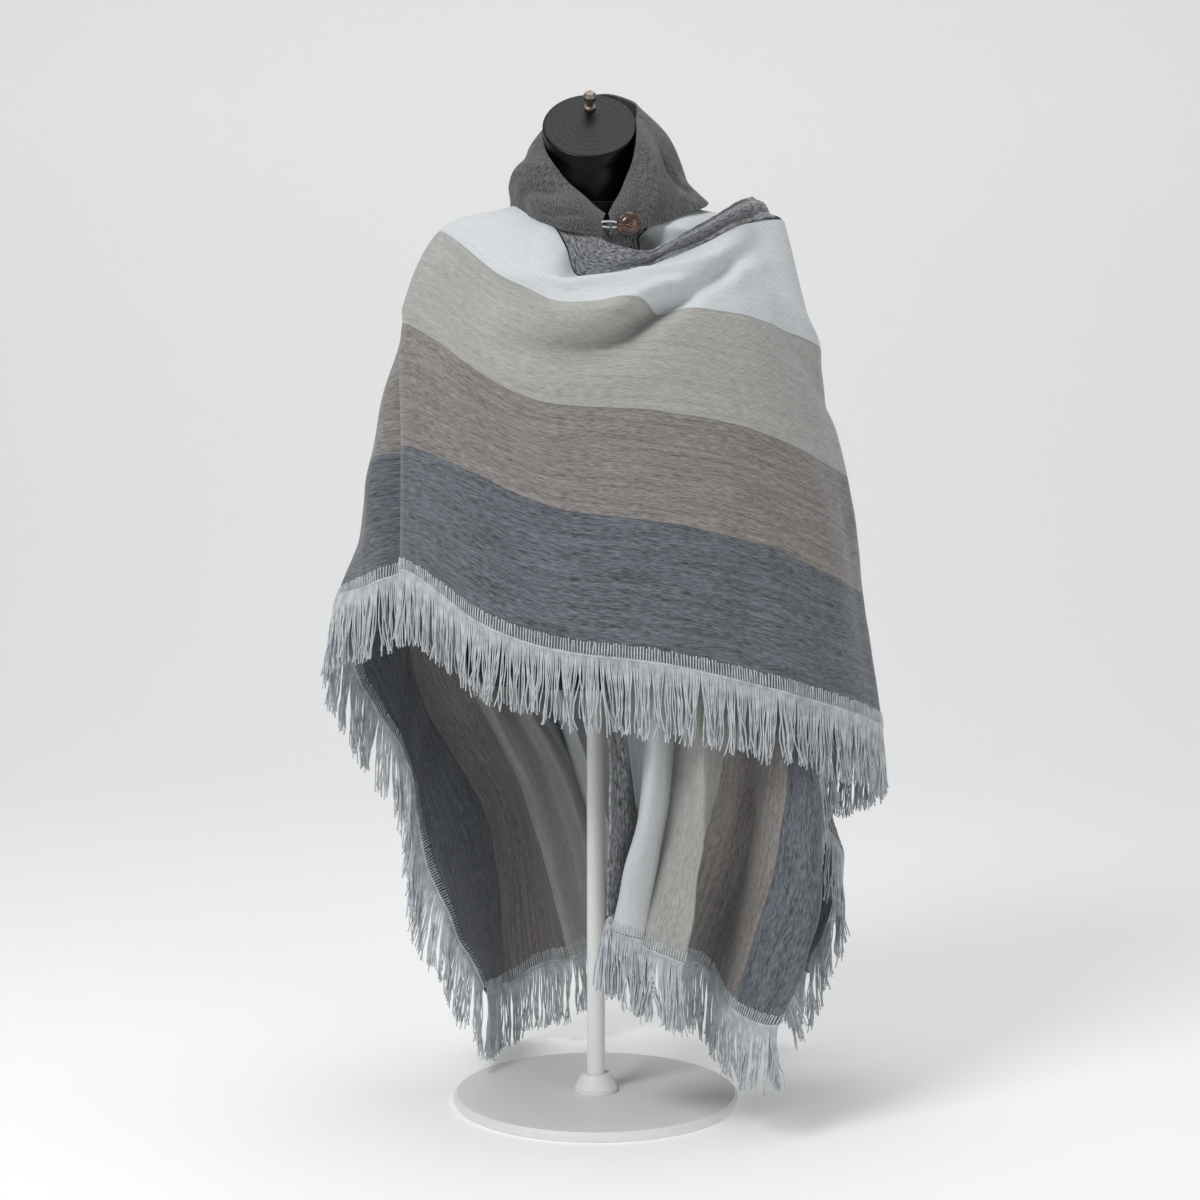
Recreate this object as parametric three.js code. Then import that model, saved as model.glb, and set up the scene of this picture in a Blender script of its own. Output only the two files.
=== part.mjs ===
// A hooded Andean poncho, open down the front, worn on a limbless display form with a stand.
// The wearer's right front is thrown across the chest and over the left shoulder.
// Millimetres, +Z up, the garment faces -Y, the wearer's left is +X, the origin is on the floor
// under the middle of the stand.
import * as THREE from 'three';

// ---- Driving sizes ----
const CLOTH = 2;            // thickness of the woven cloth
const BAND = 2.4;           // thickness of the front bands and the hood
const SEAM = 0.4;           // clear gap between two pieces at a seam
const SHOULDER_SEAM = 0.9;  // the same where the cloth turns sharply over the shoulder
const ANGLED_SEAM = 3.2;    // the same where two walls meet at a sharp angle
const FRINGE = 88;          // reach of the fringe below an edge
const FRINGE_THICK = 4;
const FRINGE_GAP = 3;       // clear gap under the stitched edge
const SIDE_REACH = 60;      // how far the fringe stands out from a steep side edge
const FRONT = 900;          // shoulder fold to front hem
const BACK = 950;           // shoulder fold to back hem
const SEAM_DARK = 155;      // stripe joins, measured in from a side edge
const SEAM_TAUPE = 295;
const SEAM_BEIGE = 430;
const BAND_SEAM = 570;      // where a front band is sewn on
const MIDDLE = 615;         // half the width of the cloth

const BASE_RADIUS = 175;
const BASE_HEIGHT = 12;
const POLE_RADIUS = 11;
const LOOP_RADIUS = 1.1;
const FORM_BOTTOM = 520;

// ---- Colours ----
const darkWool = new THREE.MeshStandardMaterial({ color: 0x66666a, roughness: 0.95 });
const taupeWool = new THREE.MeshStandardMaterial({ color: 0x8f867e, roughness: 0.95 });
const hoodWool = new THREE.MeshStandardMaterial({ color: 0x70706f, roughness: 0.95 });
const fringeWool = new THREE.MeshStandardMaterial({ color: 0xd0d3d2, roughness: 0.9 });
const buttonWood = new THREE.MeshStandardMaterial({ color: 0x3a2420, roughness: 0.25 });
const blackPlastic = new THREE.MeshStandardMaterial({ color: 0x0c0d0f, roughness: 0.3 });
const steel = new THREE.MeshStandardMaterial({ color: 0x9a9a98, roughness: 0.35, metalness: 1 });
const whitePaint = new THREE.MeshStandardMaterial({ color: 0xe9e9e7, roughness: 0.45 });

// ---- Tables of the worn cloth ----
// Each row is a line across the cloth at one distance along it; its columns are where the side
// edge, the three stripe joins and the neck or band seam lie in space on that line.
const thrownRows = [
  { along: 0, edge: [-223, -97, 665], dark: [-225, -86, 808], taupe: [-225, -57, 949],
    beige: [-184, -17, 1057], top: [-100, -2, 1086] },
  { along: 120, edge: [-140, -165, 616], dark: [-134, -155, 778], taupe: [-150, -132, 905],
    beige: [-110, -108, 1004], top: [-56, -68, 1070] },
  { along: 175, edge: [-97, -181, 597], dark: [-92, -173, 758], taupe: [-109, -154, 880],
    beige: [-74, -139, 987], top: [-35, -96, 1038] },
  { along: 230, edge: [-43, -190, 583], dark: [-37, -185, 740], taupe: [-55, -172, 860],
    beige: [-37, -163, 973], top: [-21, -98, 1003] },
  { along: 360, edge: [87, -195, 566], dark: [83, -192, 725], taupe: [65, -182, 852],
    beige: [59, -164, 972], top: [51, -102, 1012] },
  { along: 480, edge: [204, -160, 534], dark: [195, -155, 696], taupe: [180, -148, 829],
    beige: [157, -128, 961], top: [123, -84, 1040] },
  { along: 590, edge: [292, -90, 500], dark: [280, -85, 652], taupe: [260, -75, 790],
    beige: [224, -65, 940], top: [181, -26, 1067] },
  { along: 680, edge: [345, 0, 468], dark: [322, 0, 624], taupe: [302, 0, 763],
    beige: [262, 0, 912], top: [222, 30, 1060] },
  { along: 790, edge: [334, 112, 432], dark: [308, 108, 586], taupe: [285, 105, 715],
    beige: [225, 118, 852], top: [100, 138, 935] },
  { along: FRONT, edge: [270, 208, 388], dark: [236, 206, 510], taupe: [190, 198, 622],
    beige: [108, 186, 716], top: [-35, 186, 742] },
];
const hangingRows = [
  { along: 0, edge: [257, -4, 650], dark: [242, -4, 800], taupe: [226, -4, 938],
    beige: [188, -4, 1058], top: [116, 2, 1085] },
  { along: 75, edge: [260, -42, 643], dark: [241, -46, 790], taupe: [218, -47, 922],
    beige: [172, -50, 1022], top: [64, -78, 1064] },
  { along: 150, edge: [262, -75, 630], dark: [238, -85, 775], taupe: [205, -90, 890],
    beige: [150, -92, 970], top: [50, -84, 1004] },
  { along: 300, edge: [262, -96, 560], dark: [232, -110, 680], taupe: [190, -122, 760],
    beige: [125, -122, 790], top: [42, -118, 855] },
  { along: 500, edge: [270, -60, 435], dark: [222, -120, 495], taupe: [165, -138, 550],
    beige: [100, -138, 590], top: [34, -130, 655] },
  { along: 700, edge: [240, -75, 312], dark: [206, -140, 325], taupe: [140, -130, 395],
    beige: [84, -142, 388], top: [36, -128, 460] },
  { along: FRONT, edge: [216, -110, 150], dark: [162, -130, 150], taupe: [90, -125, 212],
    beige: [54, -150, 232], top: [40, -114, 262] },
];
const backColumns = ['edgeRight', 'darkRight', 'taupeRight', 'beigeRight', 'neckRight', 'middle',
  'neckLeft', 'beigeLeft', 'taupeLeft', 'darkLeft', 'edgeLeft'];
const backRows = [
  { along: 0, edgeRight: [-223, -97, 665], darkRight: [-225, -86, 808],
    taupeRight: [-225, -57, 949], beigeRight: [-184, -17, 1057], neckRight: [-100, -2, 1086],
    middle: [0, 64, 1104], neckLeft: [116, 2, 1085], beigeLeft: [188, -4, 1058],
    taupeLeft: [226, -4, 938], darkLeft: [242, -4, 800], edgeLeft: [257, -4, 650] },
  { along: 120, edgeRight: [-272, -40, 640], darkRight: [-272, 5, 782],
    taupeRight: [-240, 50, 900], beigeRight: [-185, 75, 1000], neckRight: [-98, 88, 1040],
    middle: [0, 104, 1015], neckLeft: [105, 88, 1035], beigeLeft: [180, 76, 990],
    taupeLeft: [222, 62, 905], darkLeft: [235, 74, 782], edgeLeft: [256, 58, 632] },
  { along: 230, edgeRight: [-315, 15, 612], darkRight: [-264, 95, 730],
    taupeRight: [-215, 112, 830], beigeRight: [-165, 122, 900], neckRight: [-95, 125, 930],
    middle: [0, 126, 905], neckLeft: [95, 120, 925], beigeLeft: [155, 108, 895],
    taupeLeft: [200, 98, 825], darkLeft: [230, 95, 716], edgeLeft: [258, 98, 580] },
  { along: 400, edgeRight: [-288, 85, 505], darkRight: [-245, 150, 610],
    taupeRight: [-205, 148, 660], beigeRight: [-150, 152, 735], neckRight: [-85, 150, 765],
    middle: [0, 148, 740], neckLeft: [85, 142, 760], beigeLeft: [145, 135, 730],
    taupeLeft: [192, 128, 660], darkLeft: [225, 128, 605], edgeLeft: [262, 130, 500] },
  { along: 550, edgeRight: [-240, 110, 412], darkRight: [-225, 175, 480],
    taupeRight: [-175, 182, 520], beigeRight: [-125, 185, 545], neckRight: [-72, 178, 620],
    middle: [10, 175, 590], neckLeft: [85, 172, 615], beigeLeft: [140, 168, 570],
    taupeLeft: [190, 158, 520], darkLeft: [226, 160, 465], edgeLeft: [270, 122, 385] },
  { along: 750, edgeRight: [-212, 105, 272], darkRight: [-139, 232, 295],
    taupeRight: [-95, 225, 345], beigeRight: [-30, 215, 360], neckRight: [-20, 208, 430],
    middle: [50, 215, 400], neckLeft: [105, 215, 425], beigeLeft: [165, 215, 385],
    taupeLeft: [215, 215, 340], darkLeft: [242, 205, 290], edgeLeft: [311, 98, 275] },
  { along: BACK, edgeRight: [-140, 100, 111], darkRight: [-119, 240, 86],
    taupeRight: [-36, 250, 122], beigeRight: [20, 252, 150], neckRight: [50, 252, 196],
    middle: [85, 252, 202], neckLeft: [120, 252, 198], beigeLeft: [165, 250, 185],
    taupeLeft: [220, 240, 160], darkLeft: [247, 225, 142], edgeLeft: [252, 105, 140] },
];
// Main folds. Each runs along a path of [along, across] places on the flat cloth; a positive
// height stands out from the body, and an open fold runs off the hem at its full height.
const thrownFolds = [
  { path: [[120, 430], [225, 465], [355, 495], [540, 500]], width: 30, height: 8 },
  { path: [[225, 415], [320, 415], [385, 455], [560, 530]], width: 30, height: 10 },
  { path: [[540, 490], [430, 455], [330, 400], [185, 350]], width: 28, height: -17 },
  { path: [[75, 430], [85, 240]], width: 40, height: -10 },
  { path: [[486, 170], [486, -60]], width: 30, height: 9 },
  { path: [[700, 500], [900, 470]], width: 45, height: 22, open: true },
  { path: [[720, 330], [900, 370]], width: 40, height: -20, open: true },
  { path: [[740, 200], [900, 250]], width: 40, height: 20, open: true },
];
const hangingFolds = [
  { path: [[560, 490], [900, 485]], width: 30, height: 8, open: true },
  { path: [[520, 365], [900, 362]], width: 36, height: 22, open: true },
  { path: [[480, 250], [900, 232]], width: 46, height: -52, open: true },
  { path: [[430, 110], [900, 88]], width: 44, height: 52, open: true },
];
// On the back, across runs from the wearer's right edge to the left one.
const backFolds = [
  { path: [[48, 330], [52, -60]], width: 30, height: -34 },
  { path: [[420, 225], [950, 225]], width: 42, height: 20, open: true },
  { path: [[380, 470], [950, 440]], width: 48, height: 46, open: true },
  { path: [[470, 560], [950, 545]], width: 38, height: -30, open: true },
  { path: [[430, 655], [950, 650]], width: 50, height: 55, open: true },
  { path: [[360, 830], [950, 850]], width: 48, height: 44, open: true },
  { path: [[520, 1010], [950, 1000]], width: 36, height: 30, open: true },
];
// The hood, section by section from the front V round the wearer's right side, the nape and the
// left side back to the V. The base is sewn to the neck; the rim is the free face edge.
const hoodRows = [
  { base: [4, -94, 1060], belly: [3, -96, 1065], crown: [5, -95, 1070], rim: [9, -87, 1074] },
  { base: [-37, -91, 1066], belly: [-37, -94, 1077], crown: [-30, -87, 1089], rim: [-18, -72, 1099] },
  { base: [-68, -54, 1084], belly: [-80, -51, 1098], crown: [-72, -46, 1116], rim: [-50, -40, 1136] },
  { base: [-99, -3, 1092], belly: [-100, -2, 1114], crown: [-88, 0, 1141], rim: [-62, 5, 1166] },
  { base: [-72, 44, 1106], belly: [-90, 63, 1112], crown: [-70, 62, 1156], rim: [-53, 46, 1190] },
  { base: [0, 72, 1112], belly: [-6, 138, 1092], crown: [0, 128, 1176], rim: [-2, 70, 1226] },
  { base: [82, 46, 1104], belly: [99, 64, 1118], crown: [77, 60, 1176], rim: [43, 44, 1214] },
  { base: [128, -2, 1090], belly: [96, -2, 1126], crown: [79, -6, 1160], rim: [47, -10, 1184] },
  { base: [98, -42, 1086], belly: [80, -48, 1110], crown: [64, -50, 1134], rim: [45, -48, 1147] },
  { base: [60, -82, 1072], belly: [56, -87, 1084], crown: [43, -85, 1098], rim: [31, -73, 1108] },
  { base: [27, -93, 1061], belly: [26, -96, 1066], crown: [23, -95, 1071], rim: [17, -88, 1075] },
];
// Free edge of each front band, at the same distances along as the panel it is sewn to.
const thrownBandEdge = [
  { along: 148, at: [3, -94, 1053] },
  { along: 230, at: [16, -102, 1042] },
  { along: 300, at: [50, -104, 1034] },
  { along: 360, at: [72, -98, 1036] },
  { along: 480, at: [126, -70, 1067] },
  { along: 590, at: [177, -6, 1097] },
  { along: 680, at: [180, 58, 1084] },
  { along: 790, at: [66, 142, 962] },
  { along: FRONT, at: [-68, 190, 772] },
];
const hangingBandEdge = [
  { along: 95, at: [12, -88, 1050] },
  { along: 150, at: [8, -84, 1004] },
  { along: 300, at: [0, -122, 855] },
  { along: 500, at: [2, -142, 655] },
  { along: 700, at: [16, -158, 458] },
  { along: FRONT, at: [14, -146, 264] },
];
// The torso form: half width, half depth and middle depth at each height.
const formRows = [
  { up: FORM_BOTTOM, wide: 140, deep: 88, mid: 0 },
  { up: FORM_BOTTOM + 8, wide: 152, deep: 96, mid: 0 },
  { up: 570, wide: 154, deep: 97, mid: 2 },
  { up: 630, wide: 136, deep: 89, mid: 2 },
  { up: 690, wide: 122, deep: 84, mid: 0 },
  { up: 790, wide: 134, deep: 94, mid: -4 },
  { up: 890, wide: 148, deep: 98, mid: -6 },
  { up: 970, wide: 160, deep: 84, mid: -2 },
  { up: 1020, wide: 168, deep: 68, mid: 6 },
  { up: 1048, wide: 156, deep: 56, mid: 8 },
  { up: 1066, wide: 120, deep: 50, mid: 8 },
  { up: 1078, wide: 80, deep: 44, mid: 2 },
  { up: 1092, wide: 60, deep: 42, mid: 0 },
];
const neckRows = [
  { up: 1092.4, wide: 56, deep: 42, mid: 2, lean: 0 },
  { up: 1112, wide: 52, deep: 44, mid: 0, lean: 2 },
  { up: 1140, wide: 51, deep: 45, mid: 0, lean: 14 },
  { up: 1168, wide: 54, deep: 47, mid: 0, lean: 34 },
  { up: 1181, wide: 56, deep: 48, mid: 0, lean: 39 },
  { up: 1184, wide: 54, deep: 46, mid: 0, lean: 38 },
];
const NECK_X = -7;          // the neck leans a little to the wearer's right

// ---- Curves and surfaces ----
function hermite(knots, points, at) {
  let i = 0;
  while (i < knots.length - 2 && at > knots[i + 1]) i++;
  const slope = (k) => {
    const a = Math.max(k - 1, 0);
    const b = Math.min(k + 1, knots.length - 1);
    return points[b].clone().sub(points[a]).divideScalar(knots[b] - knots[a]);
  };
  const span = knots[i + 1] - knots[i];
  const t = (at - knots[i]) / span;
  const t2 = t * t;
  const t3 = t2 * t;
  return points[i].clone().multiplyScalar(2 * t3 - 3 * t2 + 1)
    .addScaledVector(slope(i), (t3 - 2 * t2 + t) * span)
    .addScaledVector(points[i + 1], 3 * t2 - 2 * t3)
    .addScaledVector(slope(i + 1), (t3 - t2) * span);
}

const vector = (list) => new THREE.Vector3(...list);

// A surface through a table: `rows` have their distance in `along`, `columns` name the places
// across at the distances `across`.
function sheet(rows, columns, across) {
  const knots = rows.map((row) => row.along);
  const lines = rows.map((row) => columns.map((name) => vector(row[name])));
  return (along, side) => hermite(knots, lines.map((line) => hermite(across, line, side)), along);
}

// How far a fold path lifts the cloth at one place: a soft ridge or trough round the path.
function foldHeight(fold, along, across) {
  let nearest = Infinity;
  let reached = 0;
  const last = fold.path.length - 1;
  for (let k = 0; k < last; k++) {
    const [a0, c0] = fold.path[k];
    const [a1, c1] = fold.path[k + 1];
    const length2 = (a1 - a0) ** 2 + (c1 - c0) ** 2;
    const t = THREE.MathUtils.clamp(((along - a0) * (a1 - a0) + (across - c0) * (c1 - c0)) / length2, 0, 1);
    const away = Math.hypot(along - a0 - t * (a1 - a0), across - c0 - t * (c1 - c0));
    if (away < nearest) {
      nearest = away;
      reached = (k + t) / last;
    }
  }
  const fade = fold.open ? Math.sin(Math.min(reached, 1) * Math.PI / 2) : Math.sin(reached * Math.PI);
  return fold.height * fade ** 0.8 * Math.exp(-((nearest / fold.width) ** 2));
}

function normalOf(surface, along, across) {
  const step = 2;
  const a = surface(along + step, across).sub(surface(along - step, across));
  const c = surface(along, across + step).sub(surface(along, across - step));
  return a.cross(c).normalize();
}

// The surface with its folds, lifted along its own normal. `out` is 1 or -1, whichever makes the
// normal point away from the body.
function folded(surface, folds, out) {
  return (along, across) => {
    const lift = folds.reduce((sum, fold) => sum + foldHeight(fold, along, across), 0);
    return surface(along, across).addScaledVector(normalOf(surface, along, across), out * lift);
  };
}

// The way across the wall at each point of a grid, from its neighbours.
function gridNormals(grid) {
  const last = grid.length - 1;
  const end = grid[0].length - 1;
  return grid.map((row, i) => row.map((point, j) => {
    const a = grid[Math.min(i + 1, last)][j].clone().sub(grid[Math.max(i - 1, 0)][j]);
    const b = grid[i][Math.min(j + 1, end)].clone().sub(grid[i][Math.max(j - 1, 0)]);
    return a.cross(b).normalize();
  }));
}

// A wall of even thickness on a grid of points, closed all round by a rim.
function wall(name, grid, thickness, material, normals = gridNormals(grid)) {
  const n = grid.length;
  const m = grid[0].length;
  const positions = [];
  for (const side of [1, -1]) {
    grid.forEach((row, i) => row.forEach((point, j) => {
      positions.push(...point.clone().addScaledVector(normals[i][j], side * thickness / 2));
    }));
  }
  const index = [];
  const under = n * m;
  const at = (i, j) => i * m + j;
  const quad = (a, b, c, d) => index.push(a, b, c, a, c, d);
  for (let i = 0; i < n - 1; i++) {
    for (let j = 0; j < m - 1; j++) {
      quad(at(i, j), at(i + 1, j), at(i + 1, j + 1), at(i, j + 1));
      quad(under + at(i, j), under + at(i, j + 1), under + at(i + 1, j + 1), under + at(i + 1, j));
    }
  }
  const rim = [];
  for (let i = 0; i < n - 1; i++) rim.push(at(i, 0));
  for (let j = 0; j < m - 1; j++) rim.push(at(n - 1, j));
  for (let i = n - 1; i > 0; i--) rim.push(at(i, m - 1));
  for (let j = m - 1; j > 0; j--) rim.push(at(0, j));
  rim.forEach((a, k) => {
    const b = rim[(k + 1) % rim.length];
    quad(a, a + under, b + under, b);
  });
  return solid(name, positions, index, material);
}

// A mesh from points and triangles, turned the right way out.
function solid(name, positions, index, material) {
  let volume = 0;
  for (let k = 0; k < index.length; k += 3) {
    const [a, b, c] = [0, 1, 2].map((s) => vector(positions.slice(index[k + s] * 3, index[k + s] * 3 + 3)));
    volume += a.dot(b.cross(c));
  }
  const geometry = new THREE.BufferGeometry();
  geometry.setAttribute('position', new THREE.Float32BufferAttribute(positions, 3));
  geometry.setIndex(volume < 0 ? index.slice().reverse() : index);
  geometry.computeVertexNormals();
  const mesh = new THREE.Mesh(geometry, material);
  mesh.name = name;
  return mesh;
}

const steps = (from, to, count) => Array.from({ length: count + 1 }, (_, k) => from + (to - from) * k / count);

function panel(name, surface, along, across, thickness, material) {
  const grid = along.map((a) => across.map((c) => surface(a, c)));
  const normals = along.map((a) => across.map((c) => normalOf(surface, a, c)));
  return wall(name, grid, thickness, material, normals);
}

// A closed stack of oval sections, with a flat cap at each end.
function stack(name, rows, around, material) {
  const positions = [];
  rows.forEach((row) => {
    for (let k = 0; k < around; k++) {
      const turn = (k / around) * Math.PI * 2;
      const depth = row.deep * Math.sin(turn);
      positions.push(row.x + row.wide * Math.cos(turn), row.mid + depth, row.up + row.lean * depth / row.deep);
    }
  });
  const index = [];
  for (let r = 0; r < rows.length - 1; r++) {
    for (let k = 0; k < around; k++) {
      const a = r * around + k;
      const b = r * around + (k + 1) % around;
      index.push(a, b, b + around, a, b + around, a + around);
    }
  }
  for (let k = 1; k < around - 1; k++) {
    index.push(0, k + 1, k);
    const top = (rows.length - 1) * around;
    index.push(top, top + k, top + k + 1);
  }
  return solid(name, positions, index, material);
}

// A fringe: a plain wall that leaves a cloth edge square to it and droops towards straight down.
// `edge` and `inner` are matching points on the edge and a little way in from it.
function fringe(name, edge, inner, reach, hang) {
  const grid = edge.map((point, k) => {
    const leave = point.clone().sub(inner[k]).normalize();
    const lines = [];
    let at = point.clone().addScaledVector(leave, FRINGE_GAP);
    lines.push(at.clone());
    const hops = 4;
    for (let h = 0; h < hops; h++) {
      const droop = hang * (h + 0.6) / hops;
      const way = leave.clone().multiplyScalar(1 - droop).add(new THREE.Vector3(0, 0, -1.3 * droop));
      at = at.clone().addScaledVector(way.normalize(), reach / hops);
      lines.push(at.clone());
    }
    return lines;
  });
  return wall(name, grid, FRINGE_THICK, fringeWool);
}

// A turned piece that stands on its lower end at `position`.
function turned(name, outline, segments, material, position) {
  const geometry = new THREE.LatheGeometry(outline.map(([r, h]) => new THREE.Vector2(r, h)), segments);
  const mesh = new THREE.Mesh(geometry, material);
  mesh.name = name;
  mesh.rotation.x = Math.PI / 2;
  mesh.position.set(...position);
  return mesh;
}

// ---- The poncho ----
const frontColumns = ['edge', 'dark', 'taupe', 'beige', 'top'];
const frontAcross = [0, SEAM_DARK, SEAM_TAUPE, SEAM_BEIGE, BAND_SEAM];
const backAcross = [0, SEAM_DARK, SEAM_TAUPE, SEAM_BEIGE, BAND_SEAM, MIDDLE,
  2 * MIDDLE - BAND_SEAM, 2 * MIDDLE - SEAM_BEIGE, 2 * MIDDLE - SEAM_TAUPE,
  2 * MIDDLE - SEAM_DARK, 2 * MIDDLE];

// Where two panels meet on the shoulder fold, each one borrows the other's next row, so that they
// share one slope there and their ends stay parallel.
const backRowBefore = (columns, row) => Object.fromEntries(frontColumns.map((name, k) => [name, row[columns[k]]]));
const shoulderRight = backRowBefore(backColumns.slice(0, 5), backRows[1]);
const shoulderLeft = backRowBefore(backColumns.slice(6).reverse(), backRows[1]);
const thrownSheet = sheet([{ ...shoulderRight, along: -120 }, ...thrownRows], frontColumns, frontAcross);
const hangingSheet = sheet([{ ...shoulderLeft, along: -120 }, ...hangingRows], frontColumns, frontAcross);
const mirrorUp = [0, 10, 1190];
const frontGhost = Object.fromEntries([
  ...frontColumns.map((name, k) => [backColumns[k], thrownRows[1][name]]),
  ['middle', mirrorUp],
  ...frontColumns.map((name, k) => [backColumns[10 - k], hangingRows[1][name]]),
]);
const backSheet = sheet([{ ...frontGhost, along: -120 }, ...backRows], backColumns, backAcross);

const shoulderFolds = backFolds.filter((fold) => fold.path[0][0] < 100);
const asFront = (fold) => ({ ...fold, path: fold.path.map(([a, c]) => [-a, c]) });
const thrown = folded(thrownSheet, [...thrownFolds, ...shoulderFolds.map(asFront)], 1);
const hanging = folded(hangingSheet, hangingFolds, -1);
const backOwn = folded(backSheet, backFolds, -1);
const SHARED = 45;          // near the shoulder fold the back follows the front it is sewn to
function back(along, across) {
  const point = backOwn(along, across);
  const share = 1 - THREE.MathUtils.smoothstep(along, 0, SHARED);
  const fromLeft = 2 * MIDDLE - across;
  if (share > 0 && across <= BAND_SEAM) point.lerp(thrown(-along, across), share);
  if (share > 0 && fromLeft <= BAND_SEAM) point.lerp(hanging(-along, fromLeft), share);
  return point;
}

const group = new THREE.Group();
const thrownAlong = steps(SHOULDER_SEAM / 2, FRONT, 34);
const hangingAlong = steps(SHOULDER_SEAM / 2, FRONT, 22);
const backAlong = steps(SHOULDER_SEAM / 2, BACK, 20);
const frontWays = steps(0, BAND_SEAM, 18);
const backWays = steps(0, 2 * MIDDLE, 36);
group.add(panel('back_panel', back, backAlong, backWays, CLOTH, darkWool));
group.add(panel('right_front_thrown', thrown, thrownAlong, frontWays, CLOTH, taupeWool));
group.add(panel('left_front_hanging', hanging, hangingAlong, frontWays, CLOTH, darkWool));

// Hood
const hoodColumns = ['base', 'belly', 'crown', 'rim'];
const hoodSheet = sheet(hoodRows.map((row, k) => ({ ...row, along: k })), hoodColumns, [0, 1, 2, 3]);
const hoodGrid = steps(0, hoodRows.length - 1, 30).map((k) => steps(0, 3, 8).map((up) => hoodSheet(k, up)));
group.add(wall('hood', hoodGrid, BAND, hoodWool));

// Front bands, sewn to each panel's last line
function band(name, cloth, edgeRows, alongs) {
  const knots = edgeRows.map((row) => row.along);
  const points = edgeRows.map((row) => vector(row.at));
  const grid = alongs.map((along) => {
    const seam = cloth(along, BAND_SEAM);
    const free = hermite(knots, points, along);
    const width = seam.distanceTo(free);
    return steps(ANGLED_SEAM / width, 1, 2).map((t) => seam.clone().lerp(free, t));
  });
  return wall(name, grid, BAND, hoodWool);
}
group.add(band('right_front_band', thrown, thrownBandEdge, steps(152, FRONT, 32)));
group.add(band('left_front_band', hanging, hangingBandEdge, steps(98, FRONT, 24)));

// Fringes
function edgeFringe(name, cloth, place, count, reach = FRINGE, hang = 1) {
  const at = steps(0, 1, count);
  const edge = at.map((t) => cloth(...place(t, 0)));
  const inner = at.map((t) => cloth(...place(t, 12)));
  return fringe(name, edge, inner, reach, hang);
}
const between = (a, b, t) => a + (b - a) * t;
group.add(edgeFringe('fringe_right_side_front', thrown, (t, inn) => [between(1, FRONT - 6, t), inn], 34));
group.add(edgeFringe('fringe_right_side_back', back, (t, inn) => [between(1, BACK - 6, t), inn], 26, SIDE_REACH, 0.4));
group.add(edgeFringe('fringe_back_hem', back, (t, inn) => [BACK - inn, between(8, 2 * MIDDLE - 8, t)], 36));
group.add(edgeFringe('fringe_left_side_back', back, (t, inn) => [between(1, BACK - 6, t), 2 * MIDDLE - inn], 30, SIDE_REACH, 0));
group.add(edgeFringe('fringe_left_side_front', hanging, (t, inn) => [between(1, FRONT - 6, t), inn], 22, SIDE_REACH, 0.4));
group.add(edgeFringe('fringe_left_front_hem', hanging, (t, inn) => [FRONT - inn, between(8, BAND_SEAM - 26, t)], 18));
group.add(edgeFringe('fringe_right_front_hem', thrown, (t, inn) => [FRONT - inn, between(8, BAND_SEAM - 8, t)], 16));

// Button on the left band, and its loop of doubled cord from the right one
const BUTTON = new THREE.Vector3(38, -109, 1063);
const profile = [[0, -4], [9, -4], [13, -2.5], [14, 0], [13, 2.2], [9, 3.8], [4, 4.4], [0, 4.6]];
const buttonGeometry = new THREE.LatheGeometry(profile.map(([r, h]) => new THREE.Vector2(r, h)), 28);
const button = new THREE.Mesh(buttonGeometry, buttonWood);
button.name = 'button';
button.rotation.x = Math.PI;
button.position.copy(BUTTON);
group.add(button);

const loopPath = new THREE.CatmullRomCurve3([[7, -99.2, 1066], [16, -101, 1066.4], [25, -102.8, 1065],
  [28.5, -103.2, 1062.6], [25, -102.8, 1060.2], [16, -101, 1059.6], [7, -99.2, 1061]].map(vector));
const cordSection = new THREE.Shape(Array.from({ length: 8 }, (_, k) =>
  new THREE.Vector2(Math.cos(k * Math.PI / 4), Math.sin(k * Math.PI / 4)).multiplyScalar(LOOP_RADIUS)));
const loop = new THREE.Mesh(
  new THREE.ExtrudeGeometry(cordSection, { steps: 28, extrudePath: loopPath, bevelEnabled: false }), fringeWool);
loop.name = 'button_loop';
group.add(loop);

// Tassel that ends the left band
const bandEnd = hanging(FRONT, BAND_SEAM).lerp(vector(hangingBandEdge.at(-1).at), 0.5);
const tasselOutline = [[0, -96], [13, -94], [15, -60], [11, -22], [8, -8], [6, 0], [0, 0]];
group.add(turned('tassel_left_band', tasselOutline, 14, fringeWool,
  [bandEnd.x - 9, bandEnd.y - 2, bandEnd.z - 4]));

// The display form and its stand
const withX = (rows, x) => rows.map((row) => ({ lean: 0, ...row, x }));
group.add(stack('form_torso', withX(formRows, -2), 36, blackPlastic));
group.add(stack('form_neck', withX(neckRows, NECK_X), 32, blackPlastic));

// A short knobbed stem stands square to the slanted neck cap.
const cap = neckRows.at(-1);
const slant = Math.atan(cap.lean / cap.deep);
const STEM_BACK = 32;       // behind the middle of the cap
const stem = turned('form_stem', [[0, 0], [7, 0], [7, 2.5], [4, 4], [4, 11], [7.5, 13], [8, 18],
  [5, 22], [0, 22.5]], 20, steel, [0, 0, 0]);
stem.rotation.x = Math.PI / 2 + slant;
stem.position.set(NECK_X, cap.mid + STEM_BACK * Math.cos(slant) - SEAM * Math.sin(slant),
  cap.up + STEM_BACK * Math.sin(slant) + SEAM * Math.cos(slant));
group.add(stem);

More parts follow.
